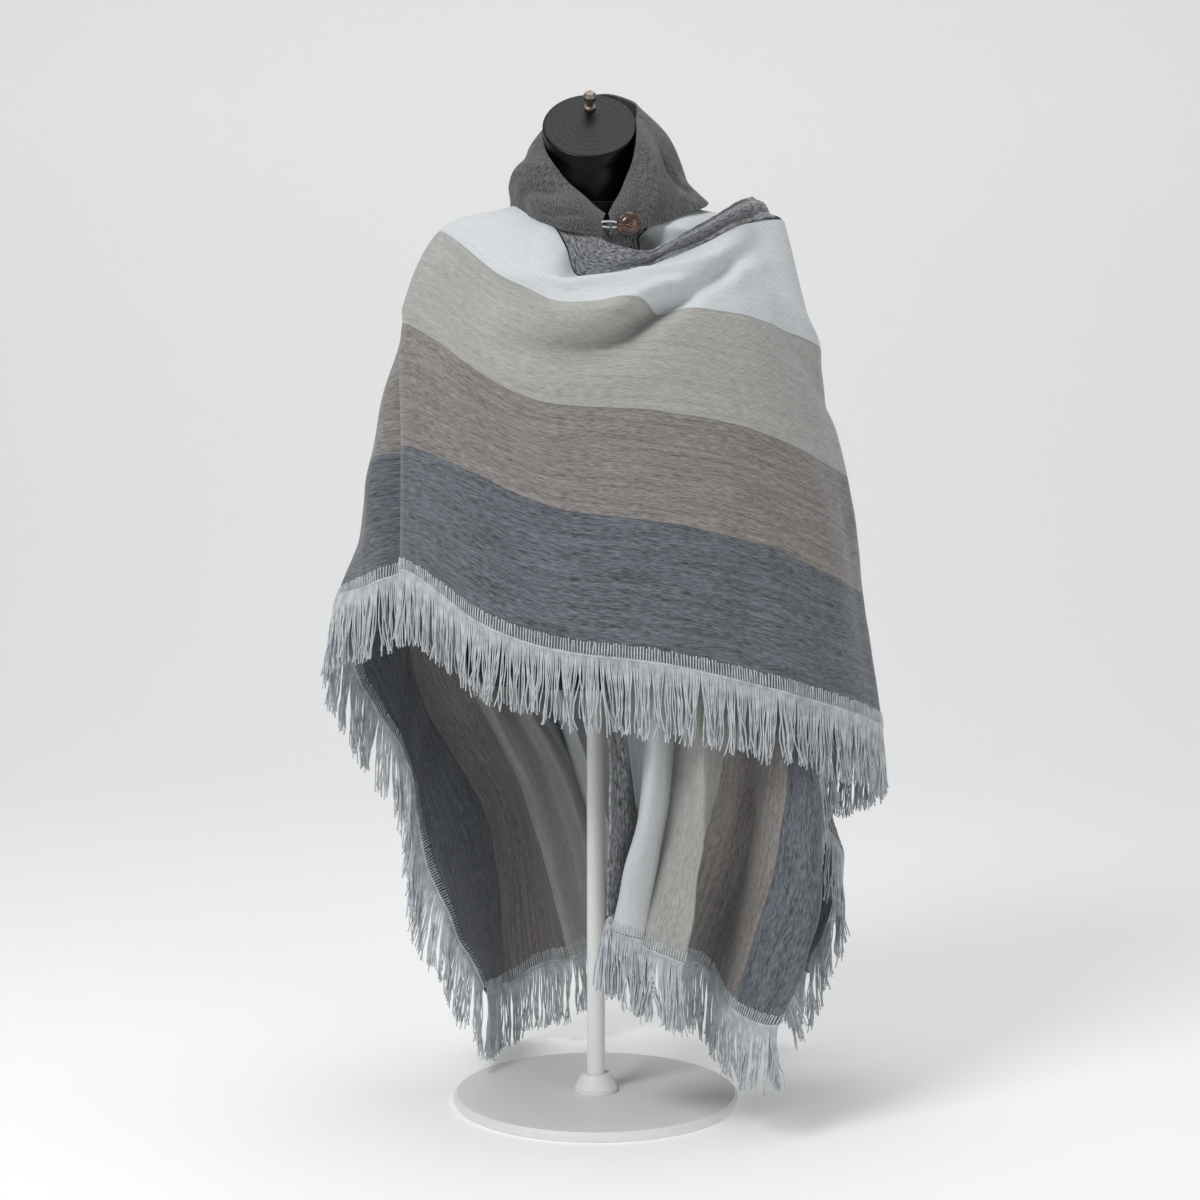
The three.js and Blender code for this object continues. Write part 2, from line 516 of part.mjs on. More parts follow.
const poleTop = FORM_BOTTOM - SEAM;
group.add(turned('stand_base', [[0, 0], [BASE_RADIUS - 2, 0], [BASE_RADIUS, 3], [BASE_RADIUS, 8],
  [BASE_RADIUS - 4, BASE_HEIGHT], [0, BASE_HEIGHT]], 48, whitePaint, [0, 0, 0]));
group.add(turned('stand_collar', [[POLE_RADIUS + SEAM, 0], [26, 0], [26, 6], [POLE_RADIUS + 6, 22],
  [POLE_RADIUS + SEAM, 22], [POLE_RADIUS + SEAM, 0]], 32, whitePaint, [0, 0, BASE_HEIGHT + SEAM]));
group.add(turned('stand_pole', [[0, 0], [POLE_RADIUS, 0], [POLE_RADIUS, poleTop - BASE_HEIGHT - SEAM],
  [0, poleTop - BASE_HEIGHT - SEAM]], 24, whitePaint, [0, 0, BASE_HEIGHT + SEAM]));

export default group;
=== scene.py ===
# A hooded Andean poncho, woven in wide natural-wool stripes and fringed all round, worn on a limbless
# display form. The wearer's right front is thrown across the chest and over the left shoulder.
import math

import bmesh
import bpy
import numpy as np
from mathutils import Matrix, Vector


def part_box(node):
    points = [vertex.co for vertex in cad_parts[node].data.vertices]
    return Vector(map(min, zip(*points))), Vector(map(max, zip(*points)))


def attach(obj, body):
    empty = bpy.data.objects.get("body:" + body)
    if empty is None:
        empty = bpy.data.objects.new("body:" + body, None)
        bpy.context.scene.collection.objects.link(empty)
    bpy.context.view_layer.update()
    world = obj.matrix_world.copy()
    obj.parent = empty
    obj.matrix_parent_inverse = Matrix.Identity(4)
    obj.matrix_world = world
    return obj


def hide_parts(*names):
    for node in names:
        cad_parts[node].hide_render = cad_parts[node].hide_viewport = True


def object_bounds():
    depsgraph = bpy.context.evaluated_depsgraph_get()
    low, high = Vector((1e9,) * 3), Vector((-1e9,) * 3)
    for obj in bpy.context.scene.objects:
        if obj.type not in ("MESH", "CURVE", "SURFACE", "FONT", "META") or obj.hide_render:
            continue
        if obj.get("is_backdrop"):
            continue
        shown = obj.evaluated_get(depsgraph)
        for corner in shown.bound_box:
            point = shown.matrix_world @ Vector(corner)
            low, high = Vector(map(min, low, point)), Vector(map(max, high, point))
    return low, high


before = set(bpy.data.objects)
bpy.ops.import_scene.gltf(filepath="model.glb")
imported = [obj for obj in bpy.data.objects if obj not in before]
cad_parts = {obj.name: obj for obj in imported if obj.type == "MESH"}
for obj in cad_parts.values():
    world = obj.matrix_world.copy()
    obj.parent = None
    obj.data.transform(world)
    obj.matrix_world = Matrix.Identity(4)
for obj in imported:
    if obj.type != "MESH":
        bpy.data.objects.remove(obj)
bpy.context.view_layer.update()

# ---- Camera ----
# A long lens at chest height, a little above the level, square to the front.
view_target = Vector((0.005, 0, 0.618))
view_tilt = math.radians(6)
camera = bpy.data.objects.new("camera", bpy.data.cameras.new("camera"))
camera.data.lens = 80
camera.data.sensor_width = 36
camera.data.clip_end = 50
camera.location = view_target + 3.214 * Vector((0, -math.cos(view_tilt), math.sin(view_tilt)))
camera.rotation_euler = (view_target - camera.location).to_track_quat("-Z", "Y").to_euler()
bpy.context.scene.collection.objects.link(camera)
bpy.context.scene.camera = camera

# ---- Studio ----
# A white paper sweep and large soft lamps: bright from above and the front, dim behind, so the hollow
# under the cloth stays dark.


def linear(hex_colour):
    parts = [int(hex_colour[k:k + 2], 16) / 255 for k in (1, 3, 5)]
    return [c / 12.92 if c <= 0.04045 else ((c + 0.055) / 1.055) ** 2.4 for c in parts] + [1]


def add_node(tree, kind, inputs={}, **settings):
    node = tree.nodes.new(kind)
    for name, value in settings.items():
        setattr(node, name, value)
    for name, value in inputs.items():
        if isinstance(value, bpy.types.NodeSocket):
            tree.links.new(value, node.inputs[name])
        else:
            node.inputs[name].default_value = value
    return node


def new_material(name):
    material = bpy.data.materials.new(name)
    material.use_nodes = True
    tree = material.node_tree
    return material, tree, tree.nodes["Principled BSDF"]


def put_in_scene(name, mesh, material=None):
    piece = bpy.data.objects.new(name, mesh)
    bpy.context.scene.collection.objects.link(piece)
    if material:
        mesh.materials.append(material)
    return piece


sweep_rise = [(-6, 0), (2.2, 0)] + [(2.2 + 1.5 * math.sin(a), 1.5 - 1.5 * math.cos(a))
                                     for a in np.linspace(0.1, math.pi / 2, 12)] + [(3.7, 6)]
sweep_mesh = bpy.data.meshes.new("paper_sweep")
sweep_mesh.from_pydata([(x, y, z) for y, z in sweep_rise for x in (-6, 6)], [],
                       [(2 * k, 2 * k + 1, 2 * k + 3, 2 * k + 2) for k in range(len(sweep_rise) - 1)])
sweep_mesh.shade_smooth()
paper, tree, shader = new_material("white_background_paper")
shader.inputs["Base Color"].default_value = linear("#f4f4f3")
shader.inputs["Emission Color"].default_value = linear("#f4f4f3")
shader.inputs["Emission Strength"].default_value = 0.16
shader.inputs["Roughness"].default_value = 0.95
sweep = put_in_scene("paper_sweep", sweep_mesh, paper)
sweep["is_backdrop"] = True

for lamp_name, place, aim, size, power in [
        ("key_lamp", (-1.5, -1.9, 2.9), (0, 0, 0.8), 1.1, 56),
        ("fill_lamp", (2.3, -2.6, 1.5), (0, 0, 0.7), 2.2, 18),
        ("top_lamp", (0.2, 0.2, 3.4), (0, 0, 0.9), 2.0, 26)]:
    lamp = bpy.data.objects.new(lamp_name, bpy.data.lights.new(lamp_name, "AREA"))
    lamp.data.size = size
    lamp.data.energy = power
    lamp.location = place
    lamp.rotation_euler = (Vector(aim) - Vector(place)).to_track_quat("-Z", "Y").to_euler()
    bpy.context.scene.collection.objects.link(lamp)
world = bpy.data.worlds.new("soft_room")
world.use_nodes = True
world.node_tree.nodes["Background"].inputs["Color"].default_value = linear("#f6f8fb")
world.node_tree.nodes["Background"].inputs["Strength"].default_value = 0.34
bpy.context.scene.world = world
bpy.context.scene.view_settings.view_transform = "Standard"

# ---- The striped cloth ----
# One woven web of wool and acrylic, 1.23 m wide, 2 mm thick, with a slit down the front. Stripes run
# from front hem to back hem: dark grey at each side edge, then taupe, beige and a cream middle.
# It is cut to three panels that meet along the shoulders: back, right front and left front.
CLOTH = 0.002
FRONT = 0.900
BACK = 0.950
SEAM_DARK, SEAM_TAUPE, SEAM_BEIGE = 0.155, 0.295, 0.430
BAND_SEAM = 0.570
MIDDLE = 0.615
MOST_PLEAT = 0.026

# Each row is a line across the cloth: how far along it is from the shoulder, then where the side
# edge, the three stripe joins and the band seam lie on that line. All in millimetres.
thrown_rows = [
    (0, (-223, -97, 665), (-225, -86, 808), (-225, -57, 949), (-184, -17, 1057), (-100, -2, 1086)),
    (120, (-140, -165, 616), (-134, -155, 778), (-150, -132, 905), (-110, -108, 1004), (-56, -68, 1070)),
    (175, (-97, -181, 597), (-92, -173, 758), (-109, -154, 880), (-74, -139, 987), (-35, -96, 1038)),
    (230, (-43, -190, 583), (-37, -185, 740), (-55, -172, 860), (-37, -163, 973), (-21, -98, 1003)),
    (360, (87, -195, 566), (83, -192, 725), (65, -182, 852), (59, -164, 972), (51, -102, 1012)),
    (480, (204, -160, 534), (195, -155, 696), (180, -148, 829), (157, -128, 961), (123, -84, 1040)),
    (590, (292, -90, 500), (280, -85, 652), (260, -75, 790), (224, -65, 940), (181, -26, 1067)),
    (680, (345, 0, 468), (322, 0, 624), (302, 0, 763), (262, 0, 912), (222, 30, 1060)),
    (790, (334, 112, 432), (308, 108, 586), (285, 105, 715), (225, 118, 852), (100, 138, 935)),
    (900, (270, 208, 388), (236, 206, 510), (190, 198, 622), (108, 186, 716), (-35, 186, 742)),
]
hanging_rows = [
    (0, (257, -4, 650), (242, -4, 800), (226, -4, 938), (188, -4, 1058), (116, 2, 1085)),
    (75, (260, -42, 643), (241, -46, 790), (218, -47, 922), (172, -50, 1022), (64, -78, 1064)),
    (150, (262, -75, 630), (238, -85, 775), (205, -90, 890), (150, -92, 970), (50, -84, 1004)),
    (300, (262, -96, 560), (232, -110, 680), (190, -122, 760), (125, -122, 790), (42, -118, 855)),
    (500, (270, -60, 435), (222, -120, 495), (165, -138, 550), (100, -138, 590), (34, -130, 655)),
    (700, (240, -75, 312), (206, -140, 325), (140, -130, 395), (84, -142, 388), (36, -128, 460)),
    (900, (216, -110, 150), (162, -130, 150), (90, -125, 212), (54, -150, 232), (40, -114, 262)),
]
# The back's columns run from the wearer's right edge, through the nape, to the left edge.
back_rows = [
    (0, (-223, -97, 665), (-225, -86, 808), (-225, -57, 949), (-184, -17, 1057), (-100, -2, 1086),
     (0, 64, 1104), (116, 2, 1085), (188, -4, 1058), (226, -4, 938), (242, -4, 800), (257, -4, 650)),
    (120, (-272, -40, 640), (-272, 5, 782), (-240, 50, 900), (-185, 75, 1000), (-98, 88, 1040),
     (0, 104, 1015), (105, 88, 1035), (180, 76, 990), (222, 62, 905), (235, 74, 782), (256, 58, 632)),
    (230, (-315, 15, 612), (-264, 95, 730), (-215, 112, 830), (-165, 122, 900), (-95, 125, 930),
     (0, 126, 905), (95, 120, 925), (155, 108, 895), (200, 98, 825), (230, 95, 716), (258, 98, 580)),
    (400, (-288, 85, 505), (-245, 150, 610), (-205, 148, 660), (-150, 152, 735), (-85, 150, 765),
     (0, 148, 740), (85, 142, 760), (145, 135, 730), (192, 128, 660), (225, 128, 605), (262, 130, 500)),
    (550, (-240, 110, 412), (-225, 175, 480), (-175, 182, 520), (-125, 185, 545), (-72, 178, 620),
     (10, 175, 590), (85, 172, 615), (140, 168, 570), (190, 158, 520), (226, 160, 465), (270, 122, 385)),
    (750, (-212, 105, 272), (-139, 232, 295), (-95, 225, 345), (-30, 215, 360), (-20, 208, 430),
     (50, 215, 400), (105, 215, 425), (165, 215, 385), (215, 215, 340), (242, 205, 290), (311, 98, 275)),
    (950, (-140, 100, 111), (-119, 240, 86), (-36, 250, 122), (20, 252, 150), (50, 252, 196),
     (85, 252, 202), (120, 252, 198), (165, 250, 185), (220, 240, 160), (247, 225, 142), (252, 105, 140)),
]
# The folds. Each runs along a path of (along, across) places on the flat cloth, in millimetres; a
# positive height stands out from the body, and an open fold runs off the hem at full height.
thrown_folds = [
    dict(path=[(90, 425), (200, 462), (330, 505), (470, 532), (620, 545)], width=20, height=16),
    dict(path=[(150, 440), (240, 462), (340, 500), (450, 520)], width=12, height=-5),
    dict(path=[(200, 400), (300, 412), (385, 455), (480, 500), (600, 535)], width=22, height=20),
    dict(path=[(620, 548), (520, 522), (440, 480), (385, 432), (330, 385), (265, 362), (150, 345)],
         width=17, height=-35),
    dict(path=[(120, 318), (230, 325), (330, 335), (430, 350)], width=24, height=6),
    dict(path=[(75, 560), (130, 475), (140, 435)], width=14, height=-4),
    dict(path=[(75, 430), (85, 240)], width=38, height=-10),
    dict(path=[(486, 170), (486, -60)], width=22, height=9),
    dict(path=[(452, 200), (455, -60)], width=16, height=-5),
    dict(path=[(250, 130), (262, -40)], width=26, height=4),
    dict(path=[(330, 220), (352, -40)], width=30, height=-4),
    dict(path=[(560, 330), (600, -40)], width=26, height=5),
    dict(path=[(640, 420), (655, -40)], width=24, height=-6),
    dict(path=[(540, 500), (660, 440), (760, 430)], width=20, height=7),
    dict(path=[(560, 440), (650, 380), (740, 360)], width=18, height=-6),
    dict(path=[(700, 500), (900, 470)], width=34, height=22, open=True),
    dict(path=[(720, 330), (900, 370)], width=30, height=-20, open=True),
    dict(path=[(740, 200), (900, 250)], width=32, height=20, open=True),
    dict(path=[(760, 90), (900, 120)], width=26, height=-9, open=True),
]
hanging_folds = [
    dict(path=[(560, 490), (900, 485)], width=26, height=8, open=True),
    dict(path=[(500, 365), (900, 358)], width=34, height=32, open=True),
    dict(path=[(480, 250), (900, 232)], width=44, height=-66, open=True),
    dict(path=[(430, 110), (900, 88)], width=42, height=58, open=True),
    dict(path=[(640, 175), (900, 165)], width=14, height=-6, open=True),
    dict(path=[(600, 425), (900, 430)], width=13, height=-7, open=True),
]
back_folds = [
    dict(path=[(48, 330), (52, -60)], width=28, height=-34),
    dict(path=[(420, 225), (950, 225)], width=40, height=20, open=True),
    dict(path=[(380, 470), (950, 440)], width=46, height=46, open=True),
    dict(path=[(470, 560), (950, 545)], width=36, height=-30, open=True),
    dict(path=[(430, 655), (950, 650)], width=48, height=55, open=True),
    dict(path=[(360, 830), (950, 850)], width=46, height=44, open=True),
    dict(path=[(520, 1010), (950, 1000)], width=34, height=30, open=True),
    dict(path=[(130, 420), (330, 330), (460, 300)], width=26, height=-8),
    dict(path=[(150, 800), (340, 900), (470, 930)], width=26, height=-8),
    dict(path=[(160, 560), (300, 600), (430, 740)], width=30, height=-9),
    dict(path=[(110, 250), (260, 180), (430, 150)], width=24, height=8),
    dict(path=[(50, 760), (95, 740), (150, 700)], width=34, height=-10),
]


def knot_shares(knots, at):
    """How much each knot of a smooth curve counts at each place in `at`."""
    knots = np.asarray(knots, float)
    last = len(knots) - 1
    k = np.clip(np.searchsorted(knots, at) - 1, 0, last - 1)
    span = knots[k + 1] - knots[k]
    t = (at - knots[k]) / span
    shares = np.zeros((len(at), len(knots)))
    each = np.arange(len(at))
    np.add.at(shares, (each, k), 2 * t ** 3 - 3 * t ** 2 + 1)
    np.add.at(shares, (each, k + 1), 3 * t ** 2 - 2 * t ** 3)
    for knot, amount in ((k, (t ** 3 - 2 * t ** 2 + t) * span), (k + 1, (t ** 3 - t ** 2) * span)):
        before, after = np.maximum(knot - 1, 0), np.minimum(knot + 1, last)
        slope = amount / (knots[after] - knots[before])
        np.add.at(shares, (each, after), slope)
        np.add.at(shares, (each, before), -slope)
    return shares


def smooth_sheet(rows, across_knots):
    """A surface through a table, as a function of matching arrays of places along and across."""
    along_knots = [row[0] / 1000 for row in rows]
    table = np.array([row[1:] for row in rows]) / 1000
    return lambda along, across: np.einsum(
        "pr,pc,rck->pk", knot_shares(along_knots, along), knot_shares(across_knots, across), table)


def fold_height(fold, along, across):
    """How far a fold lifts the cloth: a soft ridge or trough round its path."""
    path = np.array(fold["path"]) / 1000
    last = len(path) - 1
    nearest, reached = np.full(len(along), np.inf), np.zeros(len(along))
    for k in range(last):
        (a0, c0), (da, dc) = path[k], path[k + 1] - path[k]
        t = np.clip(((along - a0) * da + (across - c0) * dc) / (da * da + dc * dc), 0, 1)
        away = np.hypot(along - a0 - t * da, across - c0 - t * dc)
        closer = away < nearest
        nearest = np.where(closer, away, nearest)
        reached = np.where(closer, (k + t) / last, reached)
    fade = np.sin(np.minimum(reached, 1) * math.pi / (2 if fold.get("open") else 1)).clip(0) ** 0.8
    return fold["height"] / 1000 * fade * np.exp(-(nearest / (fold["width"] / 1000)) ** 2)


RIPPLE_STEEPNESS = 0.00624


def ripple(along, across, seed):
    """Small uneven swells of soft cloth, about 1 mm high and 4 to 15 cm long."""
    chance = np.random.default_rng(seed)
    total = np.zeros(len(along))
    for _ in range(9):
        length = chance.uniform(0.045, 0.15)
        turn = chance.normal(1.3, 0.55)
        phase = chance.uniform(0, 2 * math.pi)
        bend = 0.35 * np.sin(2 * math.pi * (along * 1.7 + across * 2.3) + 3 * phase)
        total += RIPPLE_STEEPNESS * length * np.sin(
            2 * math.pi * (along * math.sin(turn) + across * math.cos(turn)) / length + phase + 3 * bend)
    return total


def sheet_normals(surface, along, across):
    step = 0.002
    run = surface(along + step, across) - surface(along - step, across)
    rise = surface(along, across + step) - surface(along, across - step)
    normals = np.cross(run, rise)
    return normals / np.linalg.norm(normals, axis=1, keepdims=True)


def spare_cloth(surface, along, across, covered):
    """Pleats that take up the cloth's length where it hangs gathered: pleats from shoulder to hem, and,
    where the thrown front covers it, bunching too, all of it inwards there."""
    step = 0.004
    lift = np.zeros(len(along))
    for offset, length, wander in (((step, 0), 0.085, 2.1), ((0, step), 0.118, 1.3)):
        ahead = surface(along + offset[0], across + offset[1])
        behind = surface(along - offset[0], across - offset[1])
        reach = ahead - behind
        kept = np.clip(np.linalg.norm(reach, axis=1) / (2 * step), 0.25, 1)
        height = np.minimum(1.1 * length * kept / math.pi * np.sqrt(1 / kept - 1), MOST_PLEAT)
        place, other = (along, across) if offset[0] else (across, along)
        turn = 2 * math.pi * place / length + wander * np.sin(5.5 * other + 9 * place)
        lift += height * (np.sin(turn) - covered) * (
            covered if offset[0] else np.maximum(covered, np.clip((across - 0.2) / 0.2, 0.1, 1)))
    return lift * np.clip((along - 0.05) / 0.08, 0, 1)


def with_folds(surface, folds, out, seed, covered=None, swell=1.0):
    """The surface with its folds and ripples, lifted along its own normal; `out` is 1 or -1. `covered`
    says where another layer lies over it, on a cloth that hangs gathered."""
    def folded(along, across):
        lift = sum(fold_height(fold, along, across) for fold in folds)
        if covered:
            lift = lift + spare_cloth(surface, along, across, covered(along, across))
        lift = lift + swell * ripple(along, across, seed) * np.clip(along / 0.06, 0, 1)
        return surface(along, across) + out * lift[:, None] * sheet_normals(surface, along, across)
    return folded


def covered_front(along, across):
    return np.clip((0.50 - along) / 0.12, 0, 1)


def covered_back(along, across):
    return np.clip((across - 0.66) / 0.08, 0, 1) * np.clip((0.60 - along) / 0.12, 0, 1)


front_knots = [0, SEAM_DARK, SEAM_TAUPE, SEAM_BEIGE, BAND_SEAM]
back_knots = front_knots + [MIDDLE] + [2 * MIDDLE - c for c in reversed(front_knots)]
# Where two panels meet on the shoulder, each borrows the other's next row, so they share one slope.
right_behind = (-120, *back_rows[1][1:6])
left_behind = (-120, *back_rows[1][:6:-1])
in_front = (-120, *thrown_rows[1][1:], (0, 10, 1190), *hanging_rows[1][:0:-1])
thrown_plain = smooth_sheet([right_behind, *thrown_rows], front_knots)
hanging_plain = smooth_sheet([left_behind, *hanging_rows], front_knots)
back_plain = smooth_sheet([in_front, *back_rows], back_knots)
shared_fold = dict(back_folds[0], path=[(-a, c) for a, c in back_folds[0]["path"]])
thrown = with_folds(thrown_plain, [*thrown_folds, shared_fold], 1, 3, swell=0.5)
hanging = with_folds(hanging_plain, hanging_folds, -1, 5, covered=covered_front)
back_alone = with_folds(back_plain, back_folds, -1, 8, covered=covered_back)


def back(along, across):
    """The back panel, which follows each front where it is sewn to it, within 45 mm of the shoulder."""
    point = back_alone(along, across)
    t = np.clip(along / 0.045, 0, 1)
    share = 1 - t * t * (3 - 2 * t)
    from_left = 2 * MIDDLE - across
    for front, inward in ((thrown, across), (hanging, from_left)):
        near = (share > 0) & (inward <= BAND_SEAM)
        if near.any():
            there = front(-along[near], inward[near])
            point[near] += share[near, None] * (there - point[near])
    return point


def cloth_mesh(name, points, normals, flat, thickness):
    """A closed wall round a grid of points, with each point's place on the flat cloth as its UV."""
    rows, columns = points.shape[:2]
    both = np.concatenate([points + normals * thickness / 2, points - normals * thickness / 2])
    at = np.arange(rows * columns).reshape(rows, columns)
    under = at + rows * columns
    top = np.stack([at[:-1, :-1], at[1:, :-1], at[1:, 1:], at[:-1, 1:]], -1).reshape(-1, 4)
    bottom = np.stack([under[:-1, :-1], under[:-1, 1:], under[1:, 1:], under[1:, :-1]], -1).reshape(-1, 4)
    ring = np.concatenate([at[:-1, 0], at[-1, :-1], at[:0:-1, -1], at[0, :0:-1]])
    after = np.roll(ring, -1)
    rim = np.stack([ring, ring + rows * columns, after + rows * columns, after], -1)
    faces = np.concatenate([top, bottom, rim])
    mesh = bpy.data.meshes.new(name)
    mesh.from_pydata(both.reshape(-1, 3).tolist(), [], faces.tolist())
    uv = mesh.uv_layers.new(name="flat_cloth")
    corner = np.zeros(len(mesh.loops), np.int32)
    mesh.loops.foreach_get("vertex_index", corner)
    uv.data.foreach_set("uv", np.tile(flat.reshape(-1, 2), (2, 1))[corner].astype(np.float32).ravel())
    turn_outwards(mesh)
    mesh.shade_smooth()
    mesh.set_sharp_from_angle(angle=math.radians(60))
    return mesh


def turn_outwards(mesh):
    work = bmesh.new()
    work.from_mesh(mesh)
    if work.calc_volume(signed=True) < 0:
        bmesh.ops.reverse_faces(work, faces=work.faces)
    work.to_mesh(mesh)
    work.free()


def panel_mesh(name, surface, alongs, acrosses):
    flat = np.stack(np.meshgrid(alongs, acrosses, indexing="ij"), -1)
    along, across = flat[..., 0].ravel(), flat[..., 1].ravel()
    points = surface(along, across).reshape(*flat.shape[:2], 3)
    normals = sheet_normals(surface, along, across).reshape(points.shape)
    return cloth_mesh(name, points, normals, flat, CLOTH)


# Wool and acrylic, woven in a faced twill: matt, a little hairy, each stripe spun from fibres of two
# shades, so short darker and lighter dashes run along the stripe. Cream is nearly plain.
striped_cloth, tree, shader = new_material("woven_wool_stripes")
flat_place = add_node(tree, "ShaderNodeUVMap", uv_map="flat_cloth").outputs["UV"]
place = add_node(tree, "ShaderNodeSeparateXYZ", {"Vector": flat_place})
from_far_edge = add_node(tree, "ShaderNodeMath", {0: 2 * MIDDLE, 1: place.outputs["Y"]}, operation="SUBTRACT")
inward = add_node(tree, "ShaderNodeMath", {0: place.outputs["Y"], 1: from_far_edge.outputs[0]},
                  operation="MINIMUM").outputs[0]
# Dashes about 12 mm long and two threads wide; the yarn itself is finer than shows from afar.
dash_place = add_node(tree, "ShaderNodeMapping", {"Vector": flat_place, "Scale": (1 / 0.012, 1 / 0.0016, 1)})
dashes = add_node(tree, "ShaderNodeTexNoise", {"Vector": dash_place.outputs[0], "Scale": 1, "Detail": 3,
                                               "Roughness": 0.62}).outputs["Fac"]
streak_place = add_node(tree, "ShaderNodeMapping", {"Vector": flat_place, "Scale": (1 / 0.09, 1 / 0.006, 1)})
streaks = add_node(tree, "ShaderNodeTexNoise", {"Vector": streak_place.outputs[0], "Scale": 1,
                                                "Detail": 2}).outputs["Fac"]
both_marks = add_node(tree, "ShaderNodeMix", {0: 0.3, 2: dashes, 3: streaks}).outputs[0]
mottle = add_node(tree, "ShaderNodeMapRange", {"Value": both_marks, "From Min": 0.36,
                                               "From Max": 0.64}).outputs[0]


def stripe(low, high):
    return add_node(tree, "ShaderNodeMix", {0: mottle, 6: linear(low), 7: linear(high)},
                    data_type="RGBA").outputs[2]


WANDER = 0.003
JOIN_THREAD = 0.0008
wander = add_node(tree, "ShaderNodeMath", {0: streaks, 1: WANDER}, operation="MULTIPLY").outputs[0]
edge_place = add_node(tree, "ShaderNodeMath", {0: inward, 1: wander}, operation="ADD").outputs[0]
colour = stripe("#383b40", "#7a7f87")
for join, low, high in ((SEAM_DARK, "#5f5b59", "#999591"), (SEAM_TAUPE, "#908f8b", "#b0afac"),
                        (SEAM_BEIGE, "#bdc1c3", "#cbcfd1")):
    past = add_node(tree, "ShaderNodeMath", {0: edge_place, 1: join + WANDER / 2},
                    operation="GREATER_THAN").outputs[0]
    colour = add_node(tree, "ShaderNodeMix", {0: past, 6: colour, 7: stripe(low, high)},
                      data_type="RGBA").outputs[2]
# A single darker thread lies at each stripe join.
for join in (SEAM_DARK, SEAM_TAUPE, SEAM_BEIGE):
    line = add_node(tree, "ShaderNodeMath", {0: edge_place, 1: join + WANDER / 2, 2: JOIN_THREAD},
                    operation="COMPARE").outputs[0]
    faint = add_node(tree, "ShaderNodeMath", {0: line, 1: 0.35}, operation="MULTIPLY").outputs[0]
    colour = add_node(tree, "ShaderNodeMix", {0: faint, 6: colour, 7: linear("#55504c")},
                      data_type="RGBA").outputs[2]
# Twill ribs about 2.4 mm apart, drawn coarser than the real 1 mm thread so that they show.
ribs = add_node(tree, "ShaderNodeMapping", {"Vector": flat_place, "Rotation": (0, 0, math.radians(58)),
                                            "Scale": (1, 1, 1)})
twill = add_node(tree, "ShaderNodeTexWave", {"Vector": ribs.outputs[0], "Scale": 1 / 0.0024 / 6.4,
                                             "Distortion": 1.2, "Detail": 1}).outputs["Fac"]
relief = add_node(tree, "ShaderNodeMix", {0: 0.6, 2: twill, 3: mottle}).outputs[0]
bump = add_node(tree, "ShaderNodeBump", {"Height": relief, "Strength": 0.35, "Distance": 0.0011})
tree.links.new(colour, shader.inputs["Base Color"])
tree.links.new(bump.outputs[0], shader.inputs["Normal"])
shader.inputs["Roughness"].default_value = 0.95
shader.inputs["Sheen Weight"].default_value = 0.25
shader.inputs["Sheen Roughness"].default_value = 0.55
shader.inputs["Specular IOR Level"].default_value = 0.2

panels = {}
for node, surface, reach, columns in (
        ("back_panel", back, BACK, np.linspace(0, 2 * MIDDLE, 206)),
        ("right_front_thrown", thrown, FRONT, np.linspace(0, BAND_SEAM, 116)),
        ("left_front_hanging", hanging, FRONT, np.linspace(0, BAND_SEAM, 116))):
    rows = np.linspace(0, reach, 160 if node == "back_panel" else 182)
    mesh = panel_mesh(node + "_cloth", surface, rows, columns)
    panels[node] = put_in_scene(node + "_cloth", mesh, striped_cloth)
    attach(panels[node], "root")
    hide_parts(node)

# ---- The hood ----
# A deep hood of grey melange cloth, laid back so that it stands round the neck like a high collar.
# It is one piece folded at the crown, sewn to the neckline; its rim crosses at the front V.
HOOD = 0.0024
hood_rows = [
    (0, (9, -99, 1050), (8, -99, 1061), (9, -95, 1070), (11, -88, 1075)),
    (50, (-39, -95, 1057), (-38, -96, 1075), (-30, -87, 1089), (-18, -72, 1099)),
    (100, (-67, -60, 1072), (-80, -51, 1098), (-72, -46, 1116), (-50, -40, 1136)),
    (150, (-101, -5, 1084), (-100, -2, 1114), (-88, 0, 1141), (-62, 5, 1166)),
    (200, (-72, 44, 1106), (-90, 63, 1112), (-70, 62, 1156), (-53, 46, 1190)),
    (250, (0, 72, 1112), (-6, 138, 1092), (0, 128, 1176), (-2, 70, 1226)),
    (300, (82, 46, 1104), (99, 64, 1118), (77, 60, 1176), (43, 44, 1214)),
    (350, (132, -5, 1091), (96, -2, 1126), (79, -6, 1160), (47, -10, 1184)),
    (400, (104, -45, 1076), (80, -48, 1110), (64, -50, 1134), (45, -48, 1147)),
    (450, (62, -87, 1060), (56, -87, 1084), (43, -85, 1098), (31, -73, 1108)),
    (500, (16, -102, 1051), (16, -101, 1062), (16, -97, 1071), (15, -91, 1076)),
]
# Creases by (section, height up the wall), both scaled to millimetres on the cloth.
hood_folds = [
    dict(path=[(60, 60), (95, 38), (120, 5)], width=9, height=-7),
    dict(path=[(85, 75), (135, 45), (165, 10)], width=10, height=6),
    dict(path=[(150, 60), (190, 35), (215, 5)], width=10, height=-6),
    dict(path=[(20, 40), (55, 22), (80, 4)], width=7, height=-4),
    dict(path=[(330, 70), (362, 40), (372, 4)], width=10, height=-9),
    dict(path=[(375, 70), (402, 42), (440, 8)], width=10, height=6),
    dict(path=[(415, 70), (446, 40), (470, 10)], width=8, height=-5),
    dict(path=[(200, 50), (250, 62), (300, 50)], width=12, height=-7),
    dict(path=[(205, 22), (250, 30), (295, 22)], width=10, height=6),
]
hood_plain = smooth_sheet(hood_rows, [0, 0.025, 0.05, 0.075])
hood_surface = with_folds(hood_plain, hood_folds, -1, 12)


